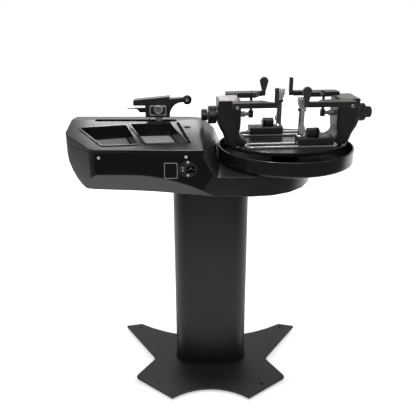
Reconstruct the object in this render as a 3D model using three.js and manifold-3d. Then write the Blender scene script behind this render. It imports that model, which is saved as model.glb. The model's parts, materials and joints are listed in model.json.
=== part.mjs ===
// Racket stringing machine on a column stand. Millimetres, +Z up.
// X runs along the machine (tension head at -X, turntable at +X), Y from the inlet side to the operator.
import * as THREE from 'three';
import { mergeGeometries, mergeVertices } from 'three/addons/utils/BufferGeometryUtils.js';
import Module from 'manifold-3d';

const wasm = await Module();
wasm.setup();

// Clearances shared by every fit
const seat = 0.3;
const overrun = 4;

// Base plate: four legs, short ones at the inlet side, long ones at the operator side
const plateThickness = 8;
const plateBevel = 1.5;
const footHeight = 8;
const footRadius = 17;
const nearTipX = 129;
const nearTipY = 241;
const nearCornerX = 266;
const nearCornerY = 133;
const notchX = 203;
const notchY = 27;
const farCornerX = 341;
const farCornerY = 186;
const farTipX = 279;
const farTipY = 201;
const nearArcY = 194;
const farArcY = 111;
const legCornerRound = 16;
const nearFootX = 178;
const nearFootY = 168;
const farFootX = 282;
const farFootY = 178;

// Column: an extruded profile with two webs that carry screw ports
const columnHeight = 739;
const columnWidth = 250;
const columnDepth = 120;
const columnWall = 3;
const webThickness = 14;
const webX = 40;
const portRadius = 4;
const portY = 44;

// Housing, measured from the column's top
const shellWall = 3;
const housingDepth = 400;
const housingLeftX = 443;
const housingCornerX = 345;
const chamferNearY = 0.2425 * housingDepth;
const chamferFarY = 0.05 * housingDepth;
const chamferPeakX = 407;
const chamferPeakY = 0.295 * housingDepth;
const chamferRound = 0.2 * housingDepth;
const housingCornerRound = 14;
const bellyX = 120;
const bellyBottomZ = -36;
const bellyBottomX = -88;
const tailBottomZ = -25;
const tailBottomX = 348;
const tailCurveZ = 95;
const deckZ = 25;
const partingZ = 100;
const nearEdgeZ = 106;
const slotRidgeZ = 150;
const backRidgeY = 45;
const backRidgeZ = 152;
const farEdgeZ = 105;
const bandZ = 31;
const bandStartX = -240;
const bandEndX = 10;
const bandSlopeShare = 1.6;

// Slope between the raised housing and the deck, taken at the near wall and at the back ridge
const creaseNearX = -23;
const creaseFarX = -66;
const shoulderNearX = -20;
const shoulderFarX = -24;
const shoulderDrop = 4;
const bulgeNearX = -10;
const bulgeFarX = 10;
const bulgeHeightShare = 0.73;
const slopeFootNearX = 18;
const slopeFootFarX = 36;

// Slot and trays in the top cover
const slotLeftX = -367;
const slotRightX = -108;
const slotWidth = 18;
const trayDepth = 42;
const trayWall = 2;
const trayFlange = 4;
const trayFlangeThickness = 1.6;
const leftTrayFarLeftX = -408;
const leftTrayFarLeftY = -58;
const leftTrayFarRightX = -263;
const leftTrayFarRightY = -36;
const leftTrayNearRightX = -211;
const leftTrayNearRightInset = 35;
const leftTrayNearLeftX = -319;
const leftTrayNearLeftInset = 27;
const rightTrayFarLeftX = -255;
const rightTrayFarLeftY = -31;
const rightTrayFarRightX = -127;
const rightTrayFarRightY = -23;
const rightTrayNearRightX = -70;
const rightTrayNearRightInset = 48;
const rightTrayNearLeftX = -192;
const rightTrayNearLeftInset = 38;
const trayCornerRound = 9;

// Inlet panel on the near wall
const panelThickness = 2.5;
const panelLeftX = -337;
const panelTopZ = 98;
const panelRightX = -29;
const panelLowRightX = 6;
const panelLowRightZ = 28;
const panelBottomZ = 36;
const panelCornerRound = 4;
const inletX = -68;
const inletZ = 50;
const inletWidth = 56;
const inletHeight = 46;
const inletFlange = 3;
const inletCornerCut = 15;
const inletBodyWidth = 46;
const inletBodyHeight = 27;
const inletBodyDepth = 28;
const socketX = 9;
const socketWidth = 25;
const socketHeight = 20;
const socketDepth = 17;
const socketCorner = 5;
const pinSpacing = 7;
const pinRise = 4;
const pinWidth = 4;
const pinHeight = 2;
const pinLength = 14;
const rockerX = -14;
const rockerWidth = 11;
const rockerHeight = 20;
const rockerTravel = 3;
const rockerPivotDepth = 4;
const rockerPivotRadius = 1.5;
const rockerWell = 15;

// Operator's panel on the far slope, in the slope's own plane
const operatorX = -235;
const operatorWidth = 230;
const operatorHeight = 92;
const operatorThickness = 2;
const operatorMiddleShare = 0.457;
const operatorRound = 12;
const windowX = -55;
const windowWidth = 84;
const windowHeight = 34;
const windowThickness = 1.2;
const keyX = 42;
const keySpacing = 26;
const keyWidth = 19;
const keyDepth = 15;
const keyThickness = 3;
const keyTravel = 1;
const keyStemRadius = 3;
const keyStemLength = 9;

// Chassis and drive
const chassisThickness = 3;
const chassisLeftX = 372;
const chassisRightX = 290;
const chassisLeftDepth = 200;
const chassisRightDepth = 150;
const standoffRadius = 7;
const standoffRightX = 190;
const standoffLeftX = 235;
const standoffY = 60;
const standoffLeftY = 80;
const endWallThickness = 4;
const endWallHeight = 82;
const endWallDepth = 90;
const endWallRightX = -52;
const rodRadius = 6;
const rodY = 29;
const rodZ = 70;
const pulleyZ = 35;
const pulleyRadius = 15;
const pulleyWidth = 9;
const pulleyLip = 2;
const idlerX = -344;
const driverX = -80;
const axleRadius = 3;
const beltThickness = 1.5;
const beltWidth = 8;
const lugThickness = 4;
const lugWidth = 16;
const lugRise = 9;
const motorRadius = 24;
const motorLength = 74;
const gearboxLength = 22;
const carriageLength = 24;
const carriageDepth = 84;
const carriageHeight = 22;
const clipThickness = 5;
const mastX = -164;
const mastWidth = 20;
const mastDepth = 12;
const collarRadius = 12;
const collarHeight = 6;
const supplyX = -150;
const supplyY = 118;
const supplyLength = 110;
const supplyDepth = 76;
const supplyHeight = 38;
const boardX = -290;
const boardY = 92;
const boardLength = 120;
const boardDepth = 64;
const boardThickness = 1.6;
const boardStand = 8;
const boardLegRadius = 3;
const chipLength = 22;
const chipHeight = 5;

// Tension head on the mast, measured from the mast and from the underside of the head
const headGap = 10.5;
const headThickness = 36;
const headLeft = 41;
const headRight = 35;
const headLedge = 36;
const headTailLeft = 78;
const headTailTop = 53;
const headTopRise = 11;
const armTop = 57;
const armBottom = 46;
const filletRise = 11;
const noseX = 90;
const noseZ = 52;
const noseRadius = 14;
const noseWidth = 15;
const nosePinRadius = 4.2;
const cheekRadius = 9;
const cheekThickness = 6;
const sidePlateX = -1;
const sidePlateZ = 22;
const sidePlateWidth = 52;
const sidePlateHeight = 31;
const sidePlateThickness = 3;
const forceKnobX = 1;
const forceKnobZ = 26;
const forceKnobRadius = 14;
const forceKnobHeight = 10;
const forceKnobStem = 4;
const forceKnobStemLength = 16;
const leverPivotX = -49;
const leverPivotZ = 20;
const leverPivotRadius = 3;
const leverTip = 59;
const leverThickness = 8;
const leverBladeHeight = 4;
const leverBodyHeight = 15;
const leverSlot = 9;
const feelerX = -29;
const feelerRadius = 1.5;
const feelerLength = 17;

// Turntable: everything turns about the spindle except the bowl and the bearing
const tableX = 240;
const tableTurnDegrees = 5;
const bowlRadius = 217;
const bowlFlare = 6;
const bowlHeight = 48;
const bowlWall = 5;
const bowlFloor = 4;
const bowlLip = 3;
const bowlPocketGap = 7;
const bearingRadius = 42;
const bearingTop = 36;
const spindleRadius = 24;
const spindleReach = 38;
const spindleFlangeRadius = 60;
const spindleFlangeThickness = 8;
const tableHalfLength = 195;
const tableHalfDepth = 154;
const tableThickness = 12;
const tableTop = 60;
const tableBevel = 2;
const railY = 77;
const railLength = 290;
const railSpacing = 40;
const railBar = 7;
const railBevel = 2;

// Towers on the turntable
const towerInnerX = 151;
const towerOuterX = 222;
const towerWaistInnerX = 158;
const towerWaistOuterX = 203;
const towerFootInnerX = 131;
const towerFootOuterX = 194;
const towerHeight = 135;
const towerFootHeight = 10;
const towerWaistHeight = 26;
const towerHeadHeight = 76;
const towerDepth = 95;
const towerBevel = 2;
const capThickness = 3;
const capOverhang = 1.5;
const capLength = 62;
const knobAxis = 87;
const bigKnobRadius = 28;
const bigKnobLength = 25;
const bigKnobBore = 10.5;
const knobGap = 3;
const smallKnobRadius = 18;
const smallKnobLength = 18;
const knurlCount = 20;
const smallKnurlCount = 13;
const knurlDepth = 1.2;
const knobSleeveRadius = 10;
const knobSleeveReach = 46;
const supportRodRadius = 6;
const supportX = 115;
const supportRodReach = 132;
const postRadius = 4.5;
const postBelow = 11;
const postTop = 143;
const supportBlockLength = 54;
const supportBlockDepth = 30;
const supportBlockHeight = 12;
const supportBlockInner = 8;
const cradleRadius = 20;

// Side arms with fingers
const armInnerLeftX = 63;
const armInnerRightX = 40;
const armWideX = 70;
const armOuterX = 186;
const armNearY = 62;
const armDepth = 48;
const armTipDepth = 20;
const armHeight = 16;
const armLift = 6;
const armRound = 6;
const armPinRadius = 4.5;
const armPinX = 173;
const armPinDrop = 7;
const armPinReach = 34;
const fingerWidth = 12;
const fingerDepth = 12;
const fingerRise = 58;
const fingerRound = 3;
const paddleRadius = 14;
const paddleRise = 47;

// String clamps on the rails
const clampBaseLong = 100;
const clampBaseShort = 11;
const clampBaseDepth = 54;
const clampBaseHeight = 23;
const clampTongueDepth = 5;
const clampTongueLength = 70;
const clampBevel = 3;
const rearPostX = -8;
const frontPostX = 28;
const lockStart = 19;
const lockLength = 36;
const lockRadius = 15;
const clampPostRadius = 9;
const clampPostTop = 118;
const clampBoreDepth = 14;
const clampSpigotRadius = 6;
const clampHeadHeight = 34;
const jawWidth = 30;
const jawDepth = 14;
const jawNeckWidth = 14;
const toothCount = 5;
const toothHeight = 7;
const toothGap = 2.4;
const spoonPivotZ = 112;
const spoonLength = 70;
const spoonWidth = 12;
const spoonEndWidth = 22;
const spoonThickness = 4;
const spoonPinRadius = 2.2;
const spoonPinLength = 7;

// Facets of round shapes
const roundSides = 18;
const smallSides = 12;
const bowlSides = 52;
const arcSteps = 10;
const curveSteps = 7;

// Colours and finishes
function finish(color, roughness, metalness) {
  return new THREE.MeshStandardMaterial({ color, roughness, metalness });
}
const powderCoat = () => finish(0x232426, 0.6, 0.2);
const satinBlack = () => finish(0x161617, 0.45, 0.3);
const glossBlack = () => finish(0x0c0c0d, 0.15, 0);
const hullGrey = () => finish(0x1e1f20, 0.35, 0);
const rubber = () => finish(0x151515, 0.9, 0);
const steel = () => finish(0xc3c6c9, 0.25, 1);
const aluminium = () => finish(0xb9bbbd, 0.4, 1);
const board = () => finish(0x1d5a34, 0.5, 0);
const glass = () => finish(0x1b2426, 0.08, 0);

// Solids: joining, cutting and the three directions that outlines are extruded in
function toSolid(geometry) {
  const bare = geometry.clone();
  bare.deleteAttribute('normal');
  bare.deleteAttribute('uv');
  const merged = mergeVertices(bare);
  const index = merged.index.array;
  const kept = [];
  for (let i = 0; i < index.length; i += 3) {
    const [a, b, c] = [index[i], index[i + 1], index[i + 2]];
    if (a !== b && b !== c && c !== a) kept.push(a, b, c);
  }
  return new wasm.Manifold(new wasm.Mesh({
    numProp: 3,
    vertProperties: new Float32Array(merged.attributes.position.array),
    triVerts: new Uint32Array(kept),
  }));
}

function toGeometry(solid) {
  const mesh = solid.getMesh();
  const geometry = new THREE.BufferGeometry();
  geometry.setAttribute('position', new THREE.BufferAttribute(mesh.vertProperties, 3));
  geometry.setIndex(new THREE.BufferAttribute(mesh.triVerts, 1));
  geometry.computeVertexNormals();
  return geometry;
}

const join = (...shapes) => toGeometry(shapes.map(toSolid).reduce((whole, next) => whole.add(next)));
const cut = (body, ...tools) =>
  toGeometry(tools.map(toSolid).reduce((whole, tool) => whole.subtract(tool), toSolid(body)));
const common = (...shapes) =>
  toGeometry(shapes.map(toSolid).reduce((whole, next) => whole.intersect(next)));

function piece(name, geometry, material) {
  const mesh = new THREE.Mesh(geometry, material);
  mesh.name = name;
  return mesh;
}

function basis(x, y, z) {
  return new THREE.Matrix4()
    .makeBasis(new THREE.Vector3(...x), new THREE.Vector3(...y), new THREE.Vector3(...z));
}
const acrossY = basis([1, 0, 0], [0, 0, 1], [0, -1, 0]);
const alongX = basis([0, 1, 0], [0, 0, 1], [1, 0, 0]);

function shapeOf(points, holes = []) {
  const shape = new THREE.Shape(points.map(([x, y]) => new THREE.Vector2(x, y)));
  shape.holes = holes.map((hole) => new THREE.Path(hole.map(([x, y]) => new THREE.Vector2(x, y))));
  return shape;
}

// An outline extruded upwards from one height to another
function upright(points, bottom, top, { holes = [], bevel = 0 } = {}) {
  const geometry = new THREE.ExtrudeGeometry(shapeOf(points, holes), {
    depth: top - bottom - 2 * bevel,
    bevelEnabled: bevel > 0,
    bevelThickness: bevel,
    bevelSize: bevel,
    bevelOffset: -bevel,
    bevelSegments: 1,
    curveSegments: 1,
  });
  return geometry.translate(0, 0, bottom + bevel);
}

// An x-z outline extruded from one y to another
function throughY(points, nearY, farY, options) {
  return upright(points, -farY, -nearY, options).applyMatrix4(acrossY);
}

// A y-z outline extruded from one x to another
function throughX(points, fromX, toX, options) {
  return upright(points, fromX, toX, options).applyMatrix4(alongX);
}

// A profile of radius and height turned about the upright axis
function turned(profile, sides = roundSides) {
  const points = profile.map(([radius, height]) => new THREE.Vector2(radius, height));
  return new THREE.LatheGeometry(points, sides).rotateX(Math.PI / 2);
}

function rod(radius, bottom, top, sides = smallSides) {
  return turned([[0, bottom], [radius, bottom], [radius, top], [0, top]], sides);
}

function ring(inner, outer, bottom, top, sides = roundSides) {
  return turned([[inner, bottom], [outer, bottom], [outer, top], [inner, top], [inner, bottom]], sides);
}

const rodAlongX = (radius, fromX, toX, sides) => rod(radius, fromX, toX, sides).applyMatrix4(alongX);
const rodAlongY = (radius, nearY, farY, sides) => rod(radius, -farY, -nearY, sides).applyMatrix4(acrossY);

function block(fromX, toX, fromY, toY, fromZ, toZ) {
  return upright([[fromX, fromY], [toX, fromY], [toX, toY], [fromX, toY]], fromZ, toZ);
}

// The same body on the other side of the x-z plane
function mirroredY(geometry) {
  const mirrored = join(geometry).scale(1, -1, 1);
  const index = mirrored.index.array;
  for (let i = 0; i < index.length; i += 3) [index[i], index[i + 1]] = [index[i + 1], index[i]];
  return mirrored;
}

// Lifts a body by a share of its y
function leanedAlongY(geometry, share) {
  const lean = new THREE.Matrix4();
  lean.elements[6] = share;
  return geometry.applyMatrix4(lean);
}

// Outlines: counterclockwise loops of points
function roundedLoop(corners, steps = 4) {
  return corners.flatMap(([x, y, radius = 0], i) => {
    if (radius === 0) return [[x, y]];
    const at = new THREE.Vector2(x, y);
    const before = corners[(i + corners.length - 1) % corners.length];
    const after = corners[(i + 1) % corners.length];
    const start = new THREE.Vector2(before[0], before[1]).sub(at).setLength(radius).add(at);
    const end = new THREE.Vector2(after[0], after[1]).sub(at).setLength(radius).add(at);
    return new THREE.QuadraticBezierCurve(start, at, end).getPoints(steps).map((p) => [p.x, p.y]);
  });
}

function offsetLoop(points, distance) {
  return points.map(([x, y], i) => {
    const [px, py] = points[(i + points.length - 1) % points.length];
    const [nx, ny] = points[(i + 1) % points.length];
    const before = new THREE.Vector2(y - py, px - x).normalize();
    const after = new THREE.Vector2(ny - y, x - nx).normalize();
    const reach = distance / (1 + before.dot(after));
    return [x + reach * (before.x + after.x), y + reach * (before.y + after.y)];
  });
}

function rectangle(width, height, x = 0, y = 0, radius = 0) {
  const [w, h] = [width / 2, height / 2];
  return roundedLoop([
    [x - w, y - h, radius], [x + w, y - h, radius], [x + w, y + h, radius], [x - w, y + h, radius],
  ]);
}

function arcPoints(x, y, radius, fromAngle, toAngle, steps = arcSteps) {
  return Array.from({ length: steps + 1 }, (_, i) => {
    const angle = fromAngle + (toAngle - fromAngle) * i / steps;
    return [x + radius * Math.cos(angle), y + radius * Math.sin(angle)];
  });
}

function stadium(length, width, steps = arcSteps) {
  const radius = width / 2;
  const end = length / 2 - radius;
  return [
    ...arcPoints(end, 0, radius, -Math.PI / 2, Math.PI / 2, steps),
    ...arcPoints(-end, 0, radius, Math.PI / 2, 3 * Math.PI / 2, steps),
  ];
}

const circle = (x, y, radius, steps = smallSides) =>
  arcPoints(x, y, radius, 0, 2 * Math.PI, steps).slice(0, -1);

function knurled(radius, count, depth) {
  return Array.from({ length: 2 * count }, (_, i) => {
    const reach = radius - (i % 2) * depth;
    const angle = Math.PI * i / count;
    return [reach * Math.cos(angle), reach * Math.sin(angle)];
  });
}

// Loft through equal loops of three-dimensional points, closed by the given cap triangles
function loft(loops) {
  const count = loops[0].length;
  const flat = loops[0].map((p) => new THREE.Vector2(p.x, p.z));
  const caps = THREE.ShapeUtils.triangulateShape(flat, []);
  const index = [];
  for (let row = 0; row + 1 < loops.length; row += 1) {
    for (let i = 0; i < count; i += 1) {
      const [a, b] = [row * count + i, row * count + (i + 1) % count];
      index.push(a, b + count, b, a, a + count, b + count);
    }
  }
  const last = (loops.length - 1) * count;
  for (const [a, b, c] of caps) index.push(a, b, c, last + a, last + c, last + b);
  const geometry = new THREE.BufferGeometry();
  const places = loops.flat().flatMap((p) => [p.x, p.y, p.z]);
  geometry.setAttribute('position', new THREE.Float32BufferAttribute(places, 3));
  geometry.setIndex(index);
  return geometry;
}

// Stand
const columnBottom = footHeight + plateThickness;
const columnTop = columnBottom + columnHeight;
const footPlaces = [
  { name: 'foot_near_left', x: -nearFootX, y: -nearFootY },
  { name: 'foot_near_right', x: nearFootX, y: -nearFootY },
  { name: 'foot_far_left', x: -farFootX, y: farFootY },
  { name: 'foot_far_right', x: farFootX, y: farFootY },
];
const portPlaces = [[-webX, -portY], [webX, -portY], [-webX, portY], [webX, portY]];

// A concave edge through both leg tips and a middle point, walked from fromX to -fromX
function concaveEdge(fromX, tipY, middleY) {
  const sag = Math.abs(tipY - middleY);
  const radius = (fromX * fromX + sag * sag) / (2 * sag);
  const centreY = middleY + Math.sign(tipY - middleY) * radius;
  const start = Math.atan2(tipY - centreY, fromX);
  const end = Math.atan2(tipY - centreY, -fromX);
  return arcPoints(0, centreY, radius, start, end);
}

function plateOutline() {
  const right = roundedLoop([
    [nearTipX, -nearTipY], [nearCornerX, -nearCornerY, legCornerRound], [notchX, -notchY, legCornerRound],
    [farCornerX, farCornerY, legCornerRound / 2], [farTipX, farTipY],
  ]);
  const left = right.map(([x, y]) => [-x, y]).reverse();
  const farEdge = concaveEdge(farTipX, farTipY, farArcY).slice(1, -1);
  const nearEdge = concaveEdge(-nearTipX, -nearTipY, -nearArcY).slice(1, -1);
  return [...right, ...farEdge, ...left, ...nearEdge];
}

function basePlate() {
  return piece('base_plate',
    join(upright(plateOutline(), footHeight, columnBottom, { bevel: plateBevel })), powderCoat());
}

function rubberFoot({ name, x, y }) {
  const foot = turned([
    [0, 0], [footRadius - plateBevel, 0], [footRadius, plateBevel], [footRadius, footHeight - seat],
    [0, footHeight - seat],
  ]);
  return piece(name, join(foot.translate(x, y, 0)), rubber());
}

// The space between a web and the column's rounded end
function endChamber() {
  const inner = columnDepth / 2 - columnWall;
  const endX = columnWidth / 2 - columnDepth / 2;
  const webFace = webX + webThickness / 2;
  return [[webFace, -inner], ...arcPoints(endX, 0, inner, -Math.PI / 2, Math.PI / 2), [webFace, inner]];
}

function column() {
  const middle = rectangle(2 * webX - webThickness, columnDepth - 2 * columnWall);
  const right = endChamber();
  const left = right.map(([x, y]) => [-x, y]).reverse();
  const ports = portPlaces.map(([x, y]) => circle(x, y, portRadius));
  const body = upright(stadium(columnWidth, columnDepth), columnBottom + seat, columnTop);
  const bores = [middle, right, left, ...ports].map((hole) => upright(hole, 0, columnTop + overrun));
  return piece('column', cut(body, ...bores), satinBlack());
}

// Housing outlines; z is measured from the column's top
const halfDepth = housingDepth / 2;
const ridgeSlopeNear = (slotRidgeZ - nearEdgeZ) / halfDepth;
const farSlopeShare = (backRidgeZ - farEdgeZ) / (halfDepth - backRidgeY);

function roofZ(y) {
  if (y < 0) return slotRidgeZ + ridgeSlopeNear * y;
  if (y < backRidgeY) return slotRidgeZ + (backRidgeZ - slotRidgeZ) * y / backRidgeY;
  return backRidgeZ - farSlopeShare * (y - backRidgeY);
}

function planOutline() {
  const leftCorners = roundedLoop([
    [bellyX, halfDepth], [-housingCornerX, halfDepth, housingCornerRound],
    [-chamferPeakX, chamferPeakY, chamferRound], [-housingLeftX, chamferFarY, housingCornerRound],
    [-housingLeftX, -chamferNearY, housingCornerRound],
    [-housingCornerX, -halfDepth, housingCornerRound], [bellyX, -halfDepth],
  ]);
  const belly = arcPoints(bellyX, 0, halfDepth, -Math.PI / 2, Math.PI / 2).slice(1, -1);
  return [...leftCorners, ...belly];
}

function roofOutline() {
  const outside = halfDepth + 2 * overrun;
  const low = bellyBottomZ - 2 * overrun;
  return [
    [-outside, low], [outside, low], [outside, roofZ(outside)], [backRidgeY, backRidgeZ],
    [0, slotRidgeZ], [-outside, roofZ(-outside)],
  ];
}

function keelOutline() {
  const left = -housingLeftX;
  const right = bellyX + halfDepth + 2 * overrun;
  const high = backRidgeZ + 2 * overrun;
  const reachX = housingLeftX - tailBottomX;
  const reachZ = tailCurveZ - tailBottomZ;
  const tail = arcPoints(0, 0, 1, Math.PI, 3 * Math.PI / 2, curveSteps)
    .map(([x, z]) => [-tailBottomX + reachX * x, tailCurveZ + reachZ * z]);
  return [[left, high], ...tail, [bellyBottomX, bellyBottomZ], [right, bellyBottomZ], [right, high]];
}

// What is missing above the deck: the slope twists from the near wall to the back ridge
function slopeCutter(inset) {
  const run = halfDepth + backRidgeY;
  const high = backRidgeZ + 2 * overrun;
  const right = bellyX + halfDepth + 4 * overrun;
  const stations = [-halfDepth - 2 * overrun, -halfDepth / 2, 0, backRidgeY, halfDepth + 2 * overrun];
  const loops = stations.map((y) => {
    const share = Math.min((y + halfDepth) / run, 1);
    const blend = (near, far) => near + (far - near) * share;
    const shoulderZ = roofZ(y) - shoulderDrop;
    const outline = [
      [blend(creaseNearX, creaseFarX), high],
      [blend(creaseNearX, creaseFarX), roofZ(y)],
      [blend(shoulderNearX, shoulderFarX), shoulderZ],
      [blend(bulgeNearX, bulgeFarX), deckZ + (shoulderZ - deckZ) * bulgeHeightShare],
      [blend(slopeFootNearX, slopeFootFarX), deckZ],
      [right, deckZ],
      [right, high],
    ];
    return offsetLoop(outline, inset).map(([x, z]) => new THREE.Vector3(x, y, z));
  });
  return loft(loops);
}

function bowlPocket(inset) {
  return rod(bowlRadius + bowlPocketGap + inset, deckZ - inset, backRidgeZ + 3 * overrun, bowlSides)
    .translate(tableX, 0, 0);
}

// The lower edge of the walls leans inwards below a line that sinks towards the column
function bandCurve() {
  const start = new THREE.Vector2(bandStartX, bandZ);
  const bend = new THREE.Vector2((bandStartX + bandEndX) / 2, bandZ);
  const end = new THREE.Vector2(bandEndX, bellyBottomZ);
  return new THREE.QuadraticBezierCurve(start, bend, end).getPoints(curveSteps).map((p) => [p.x, p.y]);
}

function bandCutter(inset) {
  const low = 2 * bellyBottomZ - 2 * overrun;
  const left = -housingLeftX - 2 * overrun;
  const outline = [...bandCurve(), [bandEndX, low], [left, low], [left, bandZ]].reverse();
  const rise = inset * Math.hypot(1, bandSlopeShare);
  const outside = -halfDepth - 2 * overrun;
  const cutter = throughY(outline, outside, -halfDepth / 2);
  return leanedAlongY(cutter, -bandSlopeShare).translate(0, 0, rise - bandSlopeShare * halfDepth);
}

function panelOutline() {
  const low = bandCurve().filter(([x]) => x < panelLowRightX - 4 * panelCornerRound)
    .map(([x, z]) => [x, z + panelBottomZ - bandZ]);
  return [
    [panelLeftX, panelBottomZ], ...low, [panelLowRightX, panelLowRightZ],
    [panelRightX, panelTopZ], [panelLeftX, panelTopZ],
  ];
}

function housing(inset) {
  const plan = upright(offsetLoop(planOutline(), -inset), bellyBottomZ - 3 * overrun, backRidgeZ + overrun);
  const roof = throughX(offsetLoop(roofOutline(), -inset), -housingLeftX - overrun, 2 * housingLeftX);
  const keel = throughY(offsetLoop(keelOutline(), -inset), -halfDepth - overrun, halfDepth + overrun);
  const nearBand = bandCutter(inset);
  const recess = throughY(offsetLoop(panelOutline(), inset + seat), -halfDepth - 2 * overrun,
    -halfDepth + panelThickness + seat + inset);
  return cut(common(plan, roof, keel), slopeCutter(inset), bowlPocket(inset), nearBand,
    mirroredY(nearBand), recess);
}

// Openings in the housing
function columnHole() {
  return upright(stadium(columnWidth + 4 * seat, columnDepth + 4 * seat), 2 * bellyBottomZ, 0);
}

function inletWindow() {
  return block(
    inletX - inletBodyWidth / 2 - seat, inletX + inletBodyWidth / 2 + seat, -halfDepth - overrun,
    -halfDepth + panelThickness + shellWall + overrun, inletZ - inletBodyHeight / 2 - seat,
    inletZ + inletBodyHeight / 2 + seat);
}

function bearingHole() {
  return rod(bearingRadius + seat, 0, deckZ + overrun, roundSides).translate(tableX, 0, 0);
}

const outerHousing = housing(0);
const hollowHousing = cut(outerHousing, housing(shellWall));

const standoffPlaces = [
  [standoffRightX, -standoffY], [standoffRightX, standoffY], [-standoffLeftX, -standoffLeftY],
  [-standoffLeftX, standoffLeftY],
];

function lowerShell() {
  const wide = 2 * housingLeftX;
  const below = block(-wide, wide, -wide, wide, 2 * bellyBottomZ, partingZ - seat);
  const tub = common(hollowHousing, below);
  const posts = common(
    outerHousing,
    mergeGeometries(standoffPlaces.map(([x, y]) => rod(standoffRadius, bellyBottomZ, -seat)
      .translate(x, y, 0))));
  const drilled = cut(tub, columnHole(), inletWindow(), bearingHole());
  return piece('lower_shell', join(drilled, posts), hullGrey());
}

// The near part of the roof is one slanted plane; this leans a flat piece onto it
function onRoof(geometry) {
  return leanedAlongY(geometry, ridgeSlopeNear).translate(0, 0, slotRidgeZ + seat);
}

const leftTrayOutline = roundedLoop([
  [leftTrayNearLeftX, leftTrayNearLeftInset - halfDepth, trayCornerRound],
  [leftTrayNearRightX, leftTrayNearRightInset - halfDepth, trayCornerRound],
  [leftTrayFarRightX, leftTrayFarRightY, trayCornerRound],
  [leftTrayFarLeftX, leftTrayFarLeftY, trayCornerRound],
]);
const rightTrayOutline = roundedLoop([
  [rightTrayNearLeftX, rightTrayNearLeftInset - halfDepth, trayCornerRound],
  [rightTrayNearRightX, rightTrayNearRightInset - halfDepth, trayCornerRound],
  [rightTrayFarRightX, rightTrayFarRightY, trayCornerRound],
  [rightTrayFarLeftX, rightTrayFarLeftY, trayCornerRound],
]);

function trayInsert(name, outline) {
  const tub = onRoof(upright(offsetLoop(outline, -seat), -trayDepth, trayFlangeThickness));
  const flange = onRoof(upright(offsetLoop(outline, trayFlange), 0, trayFlangeThickness));
  const inside = onRoof(
    upright(offsetLoop(outline, -seat - trayWall), trayWall - trayDepth, trayFlangeThickness + overrun));
  return piece(name, cut(join(tub, flange), inside), glossBlack());
}

// Operator's panel: its own frame has x along the machine and z out of the far slope
const operatorFrame = new THREE.Matrix4()
  .makeRotationX(-Math.atan(farSlopeShare))
  .setPosition(operatorX, backRidgeY, backRidgeZ);
const farSlopeLength = Math.hypot(halfDepth - backRidgeY, backRidgeZ - farEdgeZ);
const operatorMiddle = operatorMiddleShare * farSlopeLength;
const keyPlaces = [-1, 1].map((i) => [keyX, operatorMiddle + i * keySpacing / 2]);

function topCover() {
  const wide = 2 * housingLeftX;
  const above = block(-wide, wide, -wide, wide, partingZ, backRidgeZ + 2 * overrun);
  const slot = upright(
    stadium(slotRightX - slotLeftX, slotWidth, curveSteps), partingZ, backRidgeZ + 2 * overrun)
    .translate((slotLeftX + slotRightX) / 2, 0, 0);
  const trays = [leftTrayOutline, rightTrayOutline]
    .map((outline) => upright(outline, partingZ, backRidgeZ + 2 * overrun));
  const drills = keyPlaces.map(([x, y]) =>
    rod(keyStemRadius + 2 * seat, -keyStemLength - overrun, overrun).translate(x, y, 0)
      .applyMatrix4(operatorFrame));
  return piece('top_cover', cut(common(hollowHousing, above), slot, ...trays, ...drills), glossBlack());
}

function backPanel() {
  const plate = throughY(panelOutline(), -halfDepth, -halfDepth + panelThickness);
  return piece('back_panel', cut(plate, inletWindow()), glossBlack());
}

function octagon(width, height, corner) {
  const [w, h] = [width / 2, height / 2];
  return [
    [-w + corner, -h], [w - corner, -h], [w, -h + corner], [w, h - corner],
    [w - corner, h], [-w + corner, h], [-w, h - corner], [-w, -h + corner],
  ];
}

const socketOutline = roundedLoop([
  [socketX - socketWidth / 2, -socketHeight / 2], [socketX + socketWidth / 2, -socketHeight / 2],
  [socketX + socketWidth / 2, socketHeight / 2 - socketCorner],
  [socketX + socketWidth / 2 - socketCorner, socketHeight / 2],
  [socketX - socketWidth / 2 + socketCorner, socketHeight / 2],
  [socketX - socketWidth / 2, socketHeight / 2 - socketCorner],
]);
const pinPlaces = [[-pinSpacing, -pinRise / 2], [0, pinRise], [pinSpacing, -pinRise / 2]];

// Frame of the inlet: origin on the panel's face, depth along +Y
function inletHousing() {
  const flange = throughY(octagon(inletWidth, inletHeight, inletCornerCut), -inletFlange, 0);
  const body = throughY(rectangle(inletBodyWidth, inletBodyHeight), -inletFlange, inletBodyDepth);
  const socket = throughY(socketOutline, -inletFlange - overrun, socketDepth - inletFlange);
  const well = throughY(
    rectangle(rockerWidth + 4 * seat, rockerHeight + 4 * seat, rockerX, 0), -inletFlange - overrun,
    rockerWell - inletFlange);
  const pivot = rodAlongY(rockerPivotRadius + seat, 0, rockerWidth + 2 * overrun)
    .rotateZ(-Math.PI / 2)
    .translate(rockerX - rockerWidth / 2 - overrun, rockerPivotDepth - inletFlange, 0);
  const pins = pinPlaces.map(([x, z]) => throughY(
    rectangle(pinHeight, pinWidth, socketX + x, z), socketDepth - inletFlange - pinLength, socketDepth));
  const shape = join(cut(join(flange, body), socket, well, pivot), ...pins);
  return piece('inlet_housing', shape.translate(inletX, -halfDepth - seat, inletZ), satinBlack());
}

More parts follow.
